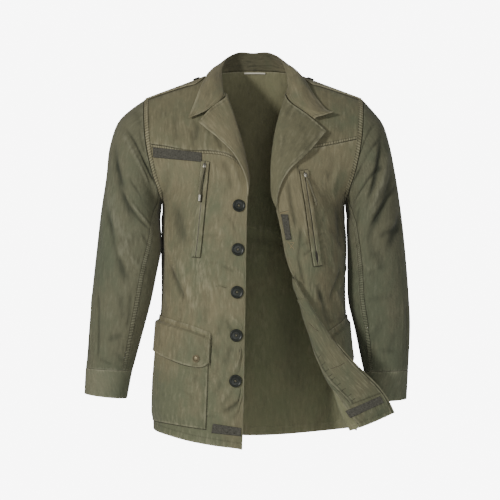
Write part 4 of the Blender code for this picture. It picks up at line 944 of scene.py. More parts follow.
def cotton(name, brown, green, faded_and_highlight, dark):
    """Washed cotton satin: two shades in broad clouds, finer mottling, paler worn edges.

    Hollows of the folds and of the stitched lines are darker, painted shade; crests are paler,
    partly wear and partly painted highlight. The wear value also paints highlight on the crests
    of seam puckers. The twill is a wave across lines at 45 degrees of the flat co-ordinates,
    1 mm apart, broken up by noise along the threads.
    """
    made = Finish(name, rough=0.86, sheen=0.1)
    made.shader.inputs["Sheen Roughness"].default_value = 0.5
    made.shader.inputs["Specular IOR Level"].default_value = 0.25
    here, flat = made.space(), made.flat()
    clouds = made.noise(here, 6.5, 3.0, 0.6, (1.0, 1.0, 0.7))
    mottle = made.noise(here, 42.0, 4.0, 0.65, (1.0, 1.0, 0.55))
    streak = made.noise(flat, 210.0, 3.0, 0.6, (1.0, 0.22, 1.0))
    fleck = made.noise(flat, 900.0, 2.0, 0.6)
    fold = made.attribute("fold")
    low = Signal(made, made.node("ShaderNodeSeparateXYZ", {}, here).socket.node.outputs[2]) * -1.1 - 0.36
    shade = made.mix(((clouds - 0.5) * 4.2 + (mottle - 0.5) * 2.4 + low + 0.42).clamped(), brown, green)
    # Paler where worn: edges for wear, and the crests of seam puckers as painted highlight.
    worn = made.attribute("worn")
    # Paler on the crests of folds: partly wear, partly painted highlight.
    crest = (fold * 0.2).clamped()
    rub_and_highlight = (worn * (0.75 + (mottle - 0.45) * 3.0) + crest * 0.7 + (streak - 0.55) * 2.4).clamped()
    shade = made.mix(rub_and_highlight * 0.6, shade, faded_and_highlight)
    # Darker in the hollows of folds, along stitched lines and on the marked shadow lines: painted shade.
    crease_shade = (fold * -0.16).clamped()
    deep = ((0.53 - mottle) * 2.0 + (0.5 - fleck) * 1.1 + (0.5 - streak) * 2.0).clamped() * 0.5 + crease_shade * 0.85
    shade = made.mix(deep.clamped(), shade, dark)
    split = made.node("ShaderNodeSeparateXYZ", {}, flat)
    across = Signal(made, split.socket.node.outputs[0])
    down = Signal(made, split.socket.node.outputs[1])
    lines = ((across + down) * (2.0 * math.pi / 0.0014) + (fleck - 0.5) * 3.0).sine()
    weave = made.bump(lines * 0.5 + fleck * 0.8, 0.00012, 0.7)
    crumple = made.bump(made.noise(here, 55.0, 4.0, 0.62) + streak * 0.25, 0.0022, 0.8, weave)
    made.close(shade, (0.8 + (mottle - 0.5) * 0.3), crumple)
    return made.material


def plain(name, colour, other, rough, metal=0.0, scale=400.0, grain=0.0002, **fixed):
    """A finish of one tone with fine grain: two close colours in noise and a small bump."""
    made = Finish(name, rough=rough, **fixed)
    grit = made.noise(made.space(), scale, 3.0)
    made.close(made.mix(grit, colour, other), grit * 0.2 + (rough - 0.1),
               made.bump(grit, grain, 0.6), metal)
    return made.material


OLIVE = cotton("olive_cotton_face", (0.205, 0.182, 0.106), (0.134, 0.142, 0.084), (0.36, 0.335, 0.225),
               (0.042, 0.044, 0.027))
# The sleeves' copy, greener and darker: the green is the cloth's tone, the darkness painted shade.
GREENER_PAINTED_SHADE = cotton("olive_cotton_sleeve_painted_shade", (0.134, 0.131, 0.081), (0.104, 0.114, 0.071), (0.22, 0.217, 0.152),
                 (0.04, 0.044, 0.028))
# The cuffs' copy, lighter than the sleeves': painted light.
CUFF_PAINTED_LIGHT = cotton("olive_cotton_cuff_painted_light", (0.172, 0.168, 0.106), (0.138, 0.148, 0.094), (0.3, 0.29, 0.2),
                (0.05, 0.054, 0.035))
# The left facing's and fly's copy, greener and darker: the green is the cloth's tone, the darkness painted shade.
FACING_PAINTED_SHADE = cotton("olive_cotton_facing_painted_shade", (0.146, 0.138, 0.08), (0.096, 0.107, 0.064), (0.33, 0.31, 0.21),
               (0.032, 0.035, 0.022))
# The yokes' copy, darker where they face upwards: painted shade, slightly greener in tone.
YOKE_PAINTED_SHADE = cotton("olive_cotton_yoke_painted_shade", (0.175, 0.159, 0.092), (0.118, 0.127, 0.075), (0.34, 0.32, 0.215),
                (0.042, 0.045, 0.028))
# The inner faces' copy, lighter than the outer cloth: painted light for the inside of the jacket.
INSIDE_PAINTED_LIGHT = cotton("olive_cotton_back_painted_light", (0.222, 0.212, 0.122), (0.183, 0.192, 0.108), (0.3, 0.28, 0.19),
                (0.09, 0.09, 0.054))
THREAD = plain("sewing_thread", (0.235, 0.21, 0.13), (0.17, 0.155, 0.095), 0.8, scale=2500.0, grain=0.0001)
SHADE = plain("seam_shadow", (0.034, 0.034, 0.021), (0.05, 0.048, 0.03), 0.95, scale=900.0)
TAN = plain("tan_thread", (0.52, 0.36, 0.19), (0.42, 0.29, 0.15), 0.8, scale=2500.0, grain=0.0001)
HOOKS = plain("hook_tape_nap", (0.138, 0.132, 0.104), (0.008, 0.008, 0.007), 0.95, scale=400.0, grain=0.005)
TAPE = plain("zip_tape_weave", (0.1, 0.092, 0.06), (0.06, 0.056, 0.038), 0.9, scale=1800.0, grain=0.0004)
PLASTIC = plain("button_plastic_face", (0.011, 0.014, 0.011), (0.018, 0.021, 0.015), 0.36, scale=300.0, grain=0.0001,
                Specular_IOR_Level=0.28)
BRASS = plain("brass_worn", (0.21, 0.175, 0.105), (0.1, 0.085, 0.05), 0.46, 0.75, scale=420.0)
TEETH = plain("zip_teeth_dark", (0.09, 0.085, 0.07), (0.05, 0.047, 0.04), 0.45, 0.8, scale=600.0)
STEEL = plain("zip_steel_worn", (0.46, 0.44, 0.38), (0.3, 0.29, 0.25), 0.36, 1.0, scale=600.0)
BRAID = plain("pull_braid", (0.18, 0.165, 0.105), (0.095, 0.09, 0.058), 0.9, scale=1500.0, grain=0.0006)
LABEL = plain("label_weave", (0.8, 0.77, 0.66), (0.62, 0.59, 0.48), 0.9, scale=1500.0, grain=0.0003)
PALE = plain("pale_floor", (0.8, 0.8, 0.8), (0.78, 0.78, 0.78), 0.9, scale=3.0)


# ---------------------------------------------------------------- body pieces
TRIM = GAP / 2.0 + 0.05
EDGE = 270.0 - TRIM
ACROSS_RIGHT = closer(TRIM, EDGE, 3.3, (0.0, 3.0, 1.4), (229.0, 3.0, 1.0), (EDGE, 7.0, 0.9))
ACROSS_LEFT = closer(TRIM, EDGE, 3.3, (0.0, 3.0, 1.4), (205.0, 40.0, 2.2), (229.0, 3.0, 1.0), (EDGE, 7.0, 0.9))
YOKE_V = closer(TRIM, YOKE - TRIM, 3.2, (0.0, 2.0, 1.2), (5.0, 2.0, 1.0), (YOKE, 3.0, 1.2))
BODY_V = closer(YOKE + TRIM, FOOT, 3.2, (YOKE, 6.0, 1.2), (HEM, 3.0, 1.0), (FOOT, 3.0, 1.2))
FRONTS = {"right": (front_right, ACROSS_RIGHT), "left": (front_left, ACROSS_LEFT)}
ARMS = {"right": sleeve_right, "left": sleeve_left}
SIGN = {"right": -1.0, "left": 1.0}
ARMHOLE_V = (3, 60, 120, 180, 235)
BACK_U = closer(-190.0 + TRIM, 190.0 - TRIM, 4.0, (-190.0, 4.0, 1.8), (190.0, 4.0, 1.8))
BACK_V = closer(TRIM, FOOT, 4.0, (0.0, 3.0, 1.8), (HEM, 3.0, 1.0), (FOOT, 3.0, 1.4))
CLOTHS = [OLIVE, INSIDE_PAINTED_LIGHT]
YOKES = [YOKE_PAINTED_SHADE, INSIDE_PAINTED_LIGHT]
SLEEVES = [GREENER_PAINTED_SHADE, INSIDE_PAINTED_LIGHT]


def places_of(us, vs, follow=None):
    u, v = np.meshgrid(us, vs)
    if follow is not None:
        v = bent(u, v, follow)
    return np.stack([u, v], axis=-1)


def rubbed(places, reach=3.0):
    """Wear by the distance to the nearest edge of the piece: e to the minus distance / reach."""
    u, v = places[..., 0], places[..., 1]
    near = np.minimum(np.minimum(u - u.min(), u.max() - u), np.minimum(v - v.min(axis=0), v.max(axis=0) - v))
    return np.exp(-np.maximum(near, 0.0) / reach)


def folded(sheet, u, v):
    return sheet.relief(np.ravel(u), np.ravel(v)).reshape(np.shape(u))


def panel(name, node, sheet, us, vs, follow=None, thick=CLOTH, materials=CLOTHS):
    places = places_of(us, vs, follow)
    u, v = places[..., 0], places[..., 1]
    mid = sheet.at(u, v, sheet.sewn(u, v))
    # The shading value is the folds' height plus five times the stitched grooves' depth: painted shade in the hollows
    # and along the stitching.
    return shell(name, [node], mid, places, sheet.side, materials, thick, rubbed(places),
                 folded(sheet, u, v) + 5.0 * sheet.sewn(u, v))


for side, (sheet, us) in FRONTS.items():
    panel("yoke_cloth_" + side, "yoke_" + side, sheet, us, YOKE_V, side, materials=YOKES)
    panel("front_cloth_" + side, "front_" + side, sheet, us, BODY_V, side)
panel("back_cloth", "back", back, BACK_U, BACK_V)

FACING_V = np.concatenate([YOKE_V, BODY_V[1:]])
FACING_OUT = {"right": 0.9, "left": 1.0}
AT_TURN = {"right": 0.0, "left": 2.0}


def behind_edge(u, v):
    """1 where the left facing stands back from the rolled edge, 6 mm in and below the lapel."""
    return soft((263.5 - u) / 1.8) * soft((v - 262.0) / 30.0) * soft((FOOT - v) / 40.0)


def inner_layer(side, more=0.0):
    """The front's grid moved in by a layer, and further where the edge turns back."""
    sheet, us = FRONTS[side]
    places = places_of(us, FACING_V, side)
    mid = sheet.at(places[..., 0], places[..., 1])
    loose = LAYER + FACING_OUT[side] * np.exp(-((us - 215.0) / 30.0) ** 2)[None, :]
    loose = loose + AT_TURN[side] * np.exp(-((FACING_V - 362.0) / 32.0) ** 2)[:, None] + more
    loose = loose + sheet.sewn(places[..., 0], places[..., 1])
    if side == "left":
        loose = loose + 1.2 * behind_edge(us, FACING_V[:, None])
    return mid - grid_normals(mid, sheet.side) * loose[:, :, None], places


for side, (sheet, us) in FRONTS.items():
    mid, places = inner_layer(side)
    keep = us > 174.9
    # The facing's face is on the inside, so its side is the other way round.
    places = places[:, keep]
    u, v = places[..., 0], places[..., 1]
    # The facing's shading value is the stitched grooves' depth and the folds turned over: painted shade in their
    # hollows.
    worn, fold = rubbed(places, 4.0), 5.0 * sheet.sewn(u, v) - folded(sheet, u, v)
    if side == "left":
        # Below the lapel of the left front: a pale line at 260.6 mm, painted highlight on the rolled edge, and a dark
        # line at 263.6 mm where the facing stands back, painted shadow.
        low = soft((v - 262.0) / 30.0)
        worn = worn + 0.8 * low * np.exp(-((u - 260.6) / 1.2) ** 2)
        fold = fold - 6.0 * low * np.exp(-((u - 263.6) / 0.9) ** 2)
    shell("facing_cloth_" + side, ["facing_" + side], mid[:, keep], places, -sheet.side,
          [OLIVE if side == "right" else FACING_PAINTED_SHADE], CLOTH, worn, fold)
mid, places = inner_layer("left", LAYER + 0.3 + 0.6)
columns = (ACROSS_LEFT > 185) & (ACROSS_LEFT < 262)
rows = (FACING_V > 385) & (FACING_V < 605)
places = places[rows][:, columns]
u, v = places[..., 0], places[..., 1]
near = np.minimum(u - u.min(), u.max() - u)
# Its shading value holds a dark line 4.5 mm in from each side edge, painted shade along the stitching, and the folds
# turned over.
shell("fly_cloth_left", ["fly_left"], mid[rows][:, columns], places, -1.0, [FACING_PAINTED_SHADE], CLOTH, np.exp(-near / 3.0),
      -4.0 * np.exp(-((near - 4.5) / 1.2) ** 2) - folded(front_left, u, v))

# ---------------------------------------------------------------- sewing
def run_along(points):
    """How far along a path each of its points lies."""
    return np.concatenate([[0.0], np.cumsum(np.linalg.norm(np.diff(points, axis=0), axis=1))])


def unit(vectors):
    return vectors / np.linalg.norm(vectors, axis=-1)[..., None]


def at_u(u, *levels):
    """Flat places down a line of one u."""
    return [(u, v) for v in levels]


def at_v(v, *stations):
    """Flat places across a line of one v."""
    return [(u, v) for u in stations]


def flat_path(stops, step=2.0):
    """A smooth line through flat places, with points a step apart."""
    stops = np.asarray(stops, float)
    run = np.concatenate([[0.0], np.cumsum(np.hypot(*np.diff(stops, axis=0).T))])
    t = np.linspace(0.0, run[-1], max(int(run[-1] / step), 2) + 1)
    return np.stack([blend(run, stops[:, 0], t), blend(run, stops[:, 1], t)], axis=1)


def on_grid(name, stops):
    """Points and normals of a finished shell along a line of flat places.

    Each place is found among the grid's points, and moved on to where it lies between them
    by the two nearest steps of the grid.
    """
    outer, n, places = GRIDS[name]
    path = flat_path(stops, 1.5)
    flat = places.reshape(-1, 2)
    columns = places.shape[1]
    points, normals = [], []
    for start in range(0, len(path), 64):
        part = path[start:start + 64]
        far = ((flat[None] - part[:, None]) ** 2).sum(axis=2)
        best = far.argmin(axis=1)
        row = np.clip(best // columns, 1, places.shape[0] - 2)
        column = np.clip(best % columns, 1, columns - 2)
        here = places[row, column]
        by_u = (places[row, column + 1] - places[row, column - 1]) / 2.0
        by_v = (places[row + 1, column] - places[row - 1, column]) / 2.0
        gap = part - here
        det = by_u[:, 0] * by_v[:, 1] - by_u[:, 1] * by_v[:, 0]
        a = (gap[:, 0] * by_v[:, 1] - gap[:, 1] * by_v[:, 0]) / det
        b = (by_u[:, 0] * gap[:, 1] - by_u[:, 1] * gap[:, 0]) / det
        a, b = np.clip(a, -1.0, 1.0)[:, None], np.clip(b, -1.0, 1.0)[:, None]
        points.append(outer[row, column] + a * (outer[row, column + 1] - outer[row, column - 1]) / 2.0
                      + b * (outer[row + 1, column] - outer[row - 1, column]) / 2.0)
        normals.append(n[row, column])
    return np.concatenate(points), np.concatenate(normals)


def lines_on(name, *lines):
    return [on_grid(name, line) for line in lines]


def stitches(name, runs, pitch=3.1, long=2.3, wide=0.5, high=0.3, material=None):
    """One lozenge for each stitch along runs of (points, normals): long along, high out."""
    ahead, out, centre = [], [], []
    for points, normals in runs:
        run = run_along(points)
        t = np.arange(pitch * 0.5, run[-1], pitch)
        if len(t) == 0:
            continue
        mid = np.stack([np.interp(t, run, points[:, k]) for k in range(3)], axis=1)
        n = np.stack([np.interp(t, run, normals[:, k]) for k in range(3)], axis=1)
        lead = np.stack([np.interp(t + 1.0, run, points[:, k]) - np.interp(t - 1.0, run, points[:, k])
                         for k in range(3)], axis=1)
        ahead.append(lead / np.maximum(np.linalg.norm(lead, axis=1), 1e-6)[:, None])
        out.append(n / np.maximum(np.linalg.norm(n, axis=1), 1e-6)[:, None])
        centre.append(mid)
    ahead, out, centre = (np.concatenate(rows) for rows in (ahead, out, centre))
    across = np.cross(ahead, out)
    corners = ((-long / 2, 0, -high * 0.3), (0, -wide / 2, 0), (0, 0, high), (0, wide / 2, 0),
               (long / 2, 0, -high * 0.3), (0, 0, -high))
    points = np.stack([centre + a * ahead + b * across + c * out for a, b, c in corners], axis=1)
    shape = np.array(((0, 2, 1), (0, 3, 2), (4, 1, 2), (4, 2, 3), (0, 1, 5), (0, 5, 3), (4, 5, 1), (4, 3, 5)))
    faces = (shape[None] + 6 * np.arange(len(centre))[:, None, None]).reshape(-1, 3)
    made = mesh_object(name, points.reshape(-1, 3), faces, [material or THREAD])
    return made


def shadow_strip(name, runs, wide=1.2):
    """Painted shadow where one layer meets the next: a dark line of long lozenges end over end."""
    return stitches(name, runs, 3.0, 4.2, wide, 0.14, SHADE)


def marked(sheet, stops, out=0.8):
    """Points and normals over a sheet along a line of (x, z)."""
    path = flat_path(stops, 1.2)
    u, v = find(sheet, path[:, 0], path[:, 1], 200.0, -path[0, 1])
    return sheet.at(u, v, out), sheet.normal(u, v)


def band(name, sheet, stops, half, out, rope, pitch=4.7, per_unit=None, material=None, thick=0.8):
    """A felled seam: a narrow band along a line, puckered into a rope by its two rows.

    Its height is level with rounded edges, 1 - x**6 across, plus rope times a sine along it
    that leans across and dies out at the edges. per_unit is the length of one u in mm.
    """
    path = flat_path(stops, 1.15)
    size = np.ones(len(path)) if per_unit is None else per_unit(path[:, 1])
    ahead = unit(np.gradient(path, axis=0) * np.stack([size, np.ones(len(path))], axis=1))
    square = np.stack([ahead[:, 1] / size, -ahead[:, 0]], axis=1)
    x = np.linspace(-1.0, 1.0, 9)
    places = path[:, None, :] + x[None, :, None] * half * square[:, None, :]
    moves = np.diff(path, axis=0) * np.stack([size[1:], np.ones(len(path) - 1)], axis=1)
    run = np.concatenate([[0.0], np.cumsum(np.hypot(*moves.T))])
    beat = run[:, None] / pitch * 2.0 * math.pi + 1.5 * np.sin(run[:, None] / 23.0) + 1.1 * x
    swell = 0.75 + 0.35 * np.sin(run[:, None] / 31.0 + 1.0)
    height = 0.35 * (1.0 - x ** 6) + rope * swell * np.sin(beat) * (1.0 - 0.8 * x ** 2)
    u, v = places[..., 0], places[..., 1]
    # Paler on the crests of the rope, painted highlight; the shading value darkens its hollows and both edges,
    # painted shade.
    worn = 0.1 + 0.7 * np.clip(np.sin(beat), 0.0, 1.0) + 0.0 * u
    made = shell(name, [], sheet.at(u, v, out + height), places, sheet.side, [material or OLIVE], thick,
                 worn, 3.6 * np.sin(beat) - 2.0 * x ** 8 + 0.0 * u)
    stitches(name + "_stitches", [on_grid(name, places[::3, column]) for column in (1, 6)])
    # Painted shadow lines along both edges of the band.
    shadow_strip(name + "_ditch", [on_grid(name, places[::3, column]) for column in (0, 7)], 0.9)
    return made


for side, (sheet, us) in FRONTS.items():
    name = "armhole_seam_" + side
    band(name, sheet, at_u(5.4, *ARMHOLE_V), 4.7, LAYER - 0.35, 0.34)
    sign = SIGN[side]
    band("armhole_seam_back_" + side, back, at_u(sign * 184.6, *ARMHOLE_V), 4.7,
         LAYER - 0.35, 0.34)
    band("side_seam_" + side, back, at_u(sign * 185.4, 258, 340, 450, 560, 668), 3.6,
         LAYER - 0.35, 0.26)
    us = np.array((11.0, 25.0, 45.0, 68.0, 90.0, 130.0, 170.0, 212.0))
    stops = np.stack([us, bent(us, np.full(8, YOKE), side) - 2.6 * sign], axis=1)
    band("yoke_seam_" + side, sheet, stops, 2.1, LAYER - 0.5, 0.1, 5.5)
    line = np.stack([us, bent(us, np.full(8, YOKE + (0.9 if side == "left" else -0.9)), side)], axis=1)
    # A painted shadow line along the yoke seam.
    shadow_strip("yoke_ditch_" + side, [on_grid(("front" if side == "left" else "yoke") + "_cloth_" + side, line)], 0.9)
    stitches("front_stitches_" + side, lines_on(
        "front_cloth_" + side, at_u(265.6, 150, 300, 480, 669), at_u(229, 210, 340, 500, 657),
        at_v(HEM, 4, 90, 180, 264)))
    runs = lines_on("facing_cloth_" + side, at_u(265.6, 8, 120, 300, 480, 668), at_v(5, 218, 240, 264),
                    at_v(HEM, 182, 220, 264))
    if side == "left":
        runs += lines_on("fly_cloth_left", ((212, 392), (203, 440), (196, 480), (190, 514), (188, 560), (188, 602)),
                         at_u(257.5, 390, 450, 520, 602))
    stitches("facing_stitches_" + side, runs)
# Each buttonhole's slit is a strip of painted shadow, between two rows of stitches.
for number, stops in enumerate((((214, 433), (231, 452)), ((206, 518), (243, 520))), 1):
    points, n = on_grid("fly_cloth_left", stops)
    across = unit(np.cross(n, np.gradient(points, axis=0)))
    shadow_strip("buttonhole_%d" % number, [(points, n)], 1.1)
    stitches("buttonhole_edge_%d" % number, [(points + 1.2 * across, n), (points - 1.2 * across, n)],
             0.9, 0.8, 1.9, 0.5)
# Painted shadow lines beside the fly's edges, and short ones where its puckers cast shade.
shadow_strip("fly_ditch", lines_on(
    "facing_cloth_left", ((209, 392), (200, 440), (193, 480), (187.3, 514), (185.2, 560), (185.2, 602)),
    at_u(260.8, 392, 480, 602)), 1.5)
shadow_strip("fly_pucker_shadows", [on_grid("fly_cloth_left", [(190.5, v), (196, v - 1.5), (202, v - 3.5)])
                    for v in (493, 507, 520, 531, 539, 554, 568, 585, 598)], 1.7)
stitches("back_stitches", lines_on("back_cloth", at_v(HEM, -184, -60, 60, 184)))
outer, n, places = GRIDS["back_cloth"]
GRIDS["back_inside"] = (outer - n * CLOTH, -n, places)
stitches("back_hem_inside", lines_on("back_inside", at_v(HEM, -184, -60, 60, 184)))

# ---------------------------------------------------------------- sleeves and cuffs
SLEEVE_V = closer(0.0, HAND, 3.2, (0.0, 3.0, 1.5), (HAND, 4.0, 1.6))
TOP_T = closer(0.0, 1.0, 0.0105, (0.0, 0.01, 0.005), (1.0, 0.012, 0.004))
UNDER_T = closer(0.0, 1.0, 0.035, (0.0, 0.02, 0.012), (1.0, 0.02, 0.012))


def sleeve_places(ts, top):
    """Angles and levels of the top or the under sleeve, between its two seams."""
    t, v = np.meshgrid(ts, SLEEVE_V)
    fore = blend(*FRONT_SEAM, v.ravel()).reshape(v.shape)
    aft = blend(*BACK_SEAM, v.ravel()).reshape(v.shape)
    start, stop = (aft - 360.0 + 0.25, fore - 0.25) if top else (fore + 0.25, aft - 0.25)
    return start + (stop - start) * t, v


def sleeve_flat(turn, v):
    """Flat co-ordinates on a sleeve: the angle times a mean radius, and the level."""
    return np.stack([np.radians(turn) * (74.0 - 0.055 * v), v], axis=-1)


for side, sheet in ARMS.items():
    for part, ts in (("top", TOP_T), ("under", UNDER_T)):
        turn, v = sleeve_places(ts, part == "top")
        flat = sleeve_flat(turn, v)
        near = np.minimum(flat[..., 0] - flat[:, :1, 0], flat[:, -1:, 0] - flat[..., 0])
        near = np.minimum(near, np.minimum(v, HAND - v))
        # The sleeves' painted shading of folds is half as strong again as the folds' height.
        shell("sleeve_%s_cloth_%s" % (part, side), ["sleeve_%s_%s" % (part, side)], sheet.at(turn, v), flat,
              sheet.side, SLEEVES, CLOTH, np.exp(-np.maximum(near, 0.0) / 3.0), 1.5 * folded(sheet, turn, v))
    turn = np.linspace(232.0, 232.0 + 385.0, 130)
    lap = 3.6 * soft((turn - 560.0) / 40.0) - 0.2
    vs = closer(HAND + 2.0 * TRIM, 520.0, 3.6, (HAND, 4.0, 1.4), (520.0, 4.0, 1.2))
    u, v = np.meshgrid(turn, vs)
    around = np.mod(u + 30.0, 360.0) - 30.0
    flat = sleeve_flat(u, v)
    near = np.minimum(v - vs[0], vs[-1] - v)
    shell("cuff_cloth_" + side, ["cuff_" + side], sheet.at(around, v, lap[None, :] + 0.0 * u), flat,
          sheet.side, [CUFF_PAINTED_LIGHT, INSIDE_PAINTED_LIGHT], 1.8, np.exp(-near / 2.5))


def sleeve_unit(v):
    return np.radians(74.0 - 0.055 * v) * 0.98


for side, sheet in ARMS.items():
    for part, seam_of, shift in (("front", FRONT_SEAM, -3.6), ("back", BACK_SEAM, 3.6)):
        levels = np.linspace(2.0, HAND - 2.0, 9)
        turn = blend(*seam_of, levels)
        stops = np.stack([turn + shift, levels], axis=1)
        band("sleeve_%s_seam_%s" % (part, side), sheet, stops, 4.4, LAYER - 0.35, 0.46, 4.9, sleeve_unit, GREENER_PAINTED_SHADE)
    runs = []
    for level in (HAND + 4.4, 516.0):
        turn = np.linspace(236.0, 610.0, 9)
        flat = sleeve_flat(turn, np.full(9, level))
        runs.append(on_grid("cuff_cloth_" + side, flat))
    stitches("cuff_stitches_" + side, runs)

# ---------------------------------------------------------------- collar and straps
COLLAR_U = closer(0.0, 4.0, 0.11, (0.0, 0.05, 0.05), (4.0, 0.2, 0.04))
COLLAR_V = closer(-185.0, 195.0, 3.6, (-185.0, 4.0, 1.2), (195.0, 4.0, 1.2))
mid = rows_of(collar, COLLAR_U, COLLAR_V)
seam = np.array([collar_seam(far) for far in COLLAR_V])
fade = np.maximum(1.0 - COLLAR_U / 2.0, 0.0) ** 1.5
mid += (seam - mid[:, 0])[:, None, :] * fade[None, :, None]
u, v = np.meshgrid(COLLAR_U, COLLAR_V)
places = np.stack([u * 22.0, v], axis=-1)
near = np.minimum((4.0 - u) * 22.0, np.minimum(v + 185.0, 195.0 - v))
sewn = np.exp(-((near - 5.0) / 1.0) ** 2) + np.exp(-((u * 22.0 - 12.0) / 1.0) ** 2)
mid -= grid_normals(mid, -1.0) * (0.4 * sewn * soft((u - 0.2) / 0.3))[:, :, None]
# Painted shade: darker inside the stand at the back of the neck, and along the stitched lines.
shade = -4.5 * np.exp(-(v / 75.0) ** 4) * soft((3.6 - u) / 1.5) - 2.5 * sewn
shell("collar_cloth", ["collar"], mid, places, -1.0, CLOTHS, 1.8, np.exp(-near / 3.0), shade)
stitches("collar_stitches", lines_on("collar_cloth", at_u(83, -179, -120, -60, 0, 60, 120, 189),
                                     at_v(-180, 20, 50, 83), at_v(190, 20, 50, 83)))
outer, n, flat = GRIDS["collar_cloth"]
GRIDS["collar_inside"] = (outer - n * 1.8, -n, flat)
stitches("collar_stand_stitches", lines_on("collar_inside", at_u(12, -86, -40, 0, 40, 86)))


def strap_points(front, side, out, across, along):
    """A strip over the shoulder: the front's points on one side, the back's on the other."""
    knots = [row[0] for row in STRAP]
    fore = blend(knots, [row[1] for row in STRAP], along)
    aft = blend(knots, [row[2] for row in STRAP], along)
    there = side * blend((0, 60, 135), (190.0, 139.0, 84.0), along)
    rows = []
    for fraction in across:
        if fraction <= 0.0:
            rows.append(front.at(along, -fraction * fore, out))
        else:
            rows.append(back.at(there, fraction * aft, out))
    return np.array(rows)


STRAP_ALONG = closer(4.0, 119.0, 3.0, (4.0, 3.0, 1.0), (119.0, 6.0, 0.9))
STRAP_HALF = closer(0.0, 1.0, 0.09, (1.0, 0.1, 0.035))
STRAP_ACROSS = np.concatenate([-STRAP_HALF[::-1], STRAP_HALF[1:]])
for side, (sheet, us) in FRONTS.items():
    sign = SIGN[side]
    mid = strap_points(sheet, sign, OVER + 0.8, STRAP_ACROSS, STRAP_ALONG)
    u, v = np.meshgrid(STRAP_ALONG, STRAP_ACROSS * 25.0)
    places = np.stack([u, v], axis=-1)
    shell("strap_cloth_" + side, ["shoulder_strap_" + side], mid, places, -sign, CLOTHS, 2.2,
          rubbed(places, 2.5))
    stitches("strap_stitches_" + side, lines_on(
        "strap_cloth_" + side, at_v(-20, 8, 40, 80, 113), at_v(20, 8, 40, 80, 113), at_u(8, -20, 0, 20),
        at_u(14, -20, 0, 20)))
    shadow_strip("strap_shade_" + side, lines_on("yoke_cloth_" + side, at_v(26.2, 6, 50, 100)), 2.0)

# ---------------------------------------------------------------- fittings
def placed(centre, axis, up, points):
    """Points of a small piece, set on a centre with their Z along the axis, Y near up."""
    across = np.cross(up, axis)
    across = across / np.linalg.norm(across)
    along = np.cross(axis, across)
    return centre + points[..., :1] * across + points[..., 1:2] * along + points[..., 2:3] * axis


def seat(sheet, u, v, out):
    """Point and normal of a sheet at one flat place."""
    u, v = np.atleast_1d(float(u)), np.atleast_1d(float(v))
    return sheet.at(u, v, out)[0], sheet.normal(u, v)[0]


def grid_faces(rows, columns, wrap):
    """Faces of a grid of points, joined round its columns where wrap is set."""
    first = np.arange(rows * columns).reshape(rows, columns)
    if wrap:
        first = np.concatenate([first, first[:, :1]], axis=1)
    return np.stack([first[:-1, :-1], first[:-1, 1:], first[1:, 1:], first[1:, :-1]], axis=-1).reshape(-1, 4)


def turned(profile, steps, height=None):
    """Rings of a turned shape from (radius, height) pairs, the first and last at the axis.

    height, if given, adds to the height at each (x, y).
    """
    profile = np.asarray(profile, float)
    angle = np.arange(steps) * 2.0 * math.pi / steps
    radius, level = profile[:, 0][:, None], profile[:, 1][:, None] + 0.0 * angle
    x, y = radius * np.cos(angle), radius * np.sin(angle)
    if height is not None:
        level = level + height(x, y)
    return np.stack([x, y, level], axis=-1)


HOLES = ((1.75, 1.75), (-1.75, 1.75), (-1.75, -1.75), (1.75, -1.75))


def hole_depth(scale):
    """Four round wells of 0.95 mm radius, steep at their walls."""
    def depth(x, y):
        out = 0.0 * x
        for cx, cy in HOLES:
            far = np.hypot(x - cx * scale, y - cy * scale) / scale
            out = out - 1.3 * soft((1.25 - far) / 0.5)
        return out
    return depth


def curve_profile(stops, steps):
    """A smooth profile through (radius, height) stops, evenly stepped."""
    stops = np.asarray(stops, float)
    t = np.linspace(0.0, len(stops) - 1.0, steps)
    return np.stack([blend(range(len(stops)), stops[:, 0], t), blend(range(len(stops)), stops[:, 1], t)], axis=1)


def button(name, node, sheet, u, v, out, scale, lean=0.0):
    """A moulded button with a raised rim, a dished middle and four sewn holes."""
    rim = [(0.0, 0.0), (9.6, 0.0), (11.2, 0.5), (11.6, 1.3), (11.2, 2.2), (10.4, 2.7), (9.4, 2.6), (8.5, 2.05),
           (7.5, 1.75), (5.6, 1.65)]
    inner = [(r, 1.6) for r in np.arange(4.2, 0.2, -0.22)]
    points = turned(np.array(rim + inner) * scale, 48, hole_depth(scale))
    points[0, :, 2] = 0.0
    centre, axis = seat(sheet, u, v, out)
    rows = len(points)
    faces = grid_faces(rows, 48, True)
    flat = placed(centre, axis, (math.sin(lean), 0.0, math.cos(lean)), points).reshape(-1, 3)
    last = np.arange((rows - 1) * 48, rows * 48)
    middle = placed(centre, axis, (0.0, 0.0, 1.0), np.array([[0.0, 0.0, 1.6 * scale]]))
    fan = np.stack([last, np.roll(last, -1), np.full(48, len(flat))], axis=-1)
    made = mesh_object(name, np.concatenate([flat, middle]), faces.tolist() + fan.tolist(), [PLASTIC])
    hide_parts(node)
    for number, (start, stop) in enumerate(((0, 2), (1, 3))):
        a, b = np.array(HOLES[start]) * scale, np.array(HOLES[stop]) * scale
        t = np.linspace(0.0, 1.0, 9)[:, None]
        path = np.concatenate([a + (b - a) * t, (1.3 + (0.75 - 0.1 * number) * np.sin(math.pi * t)) * scale], axis=1)
        path = placed(centre, axis, (math.sin(lean), 0.0, math.cos(lean)), path)
        tube("%s_thread_%d" % (name, number + 1), path, 0.42 * scale, 6, THREAD)
    return made


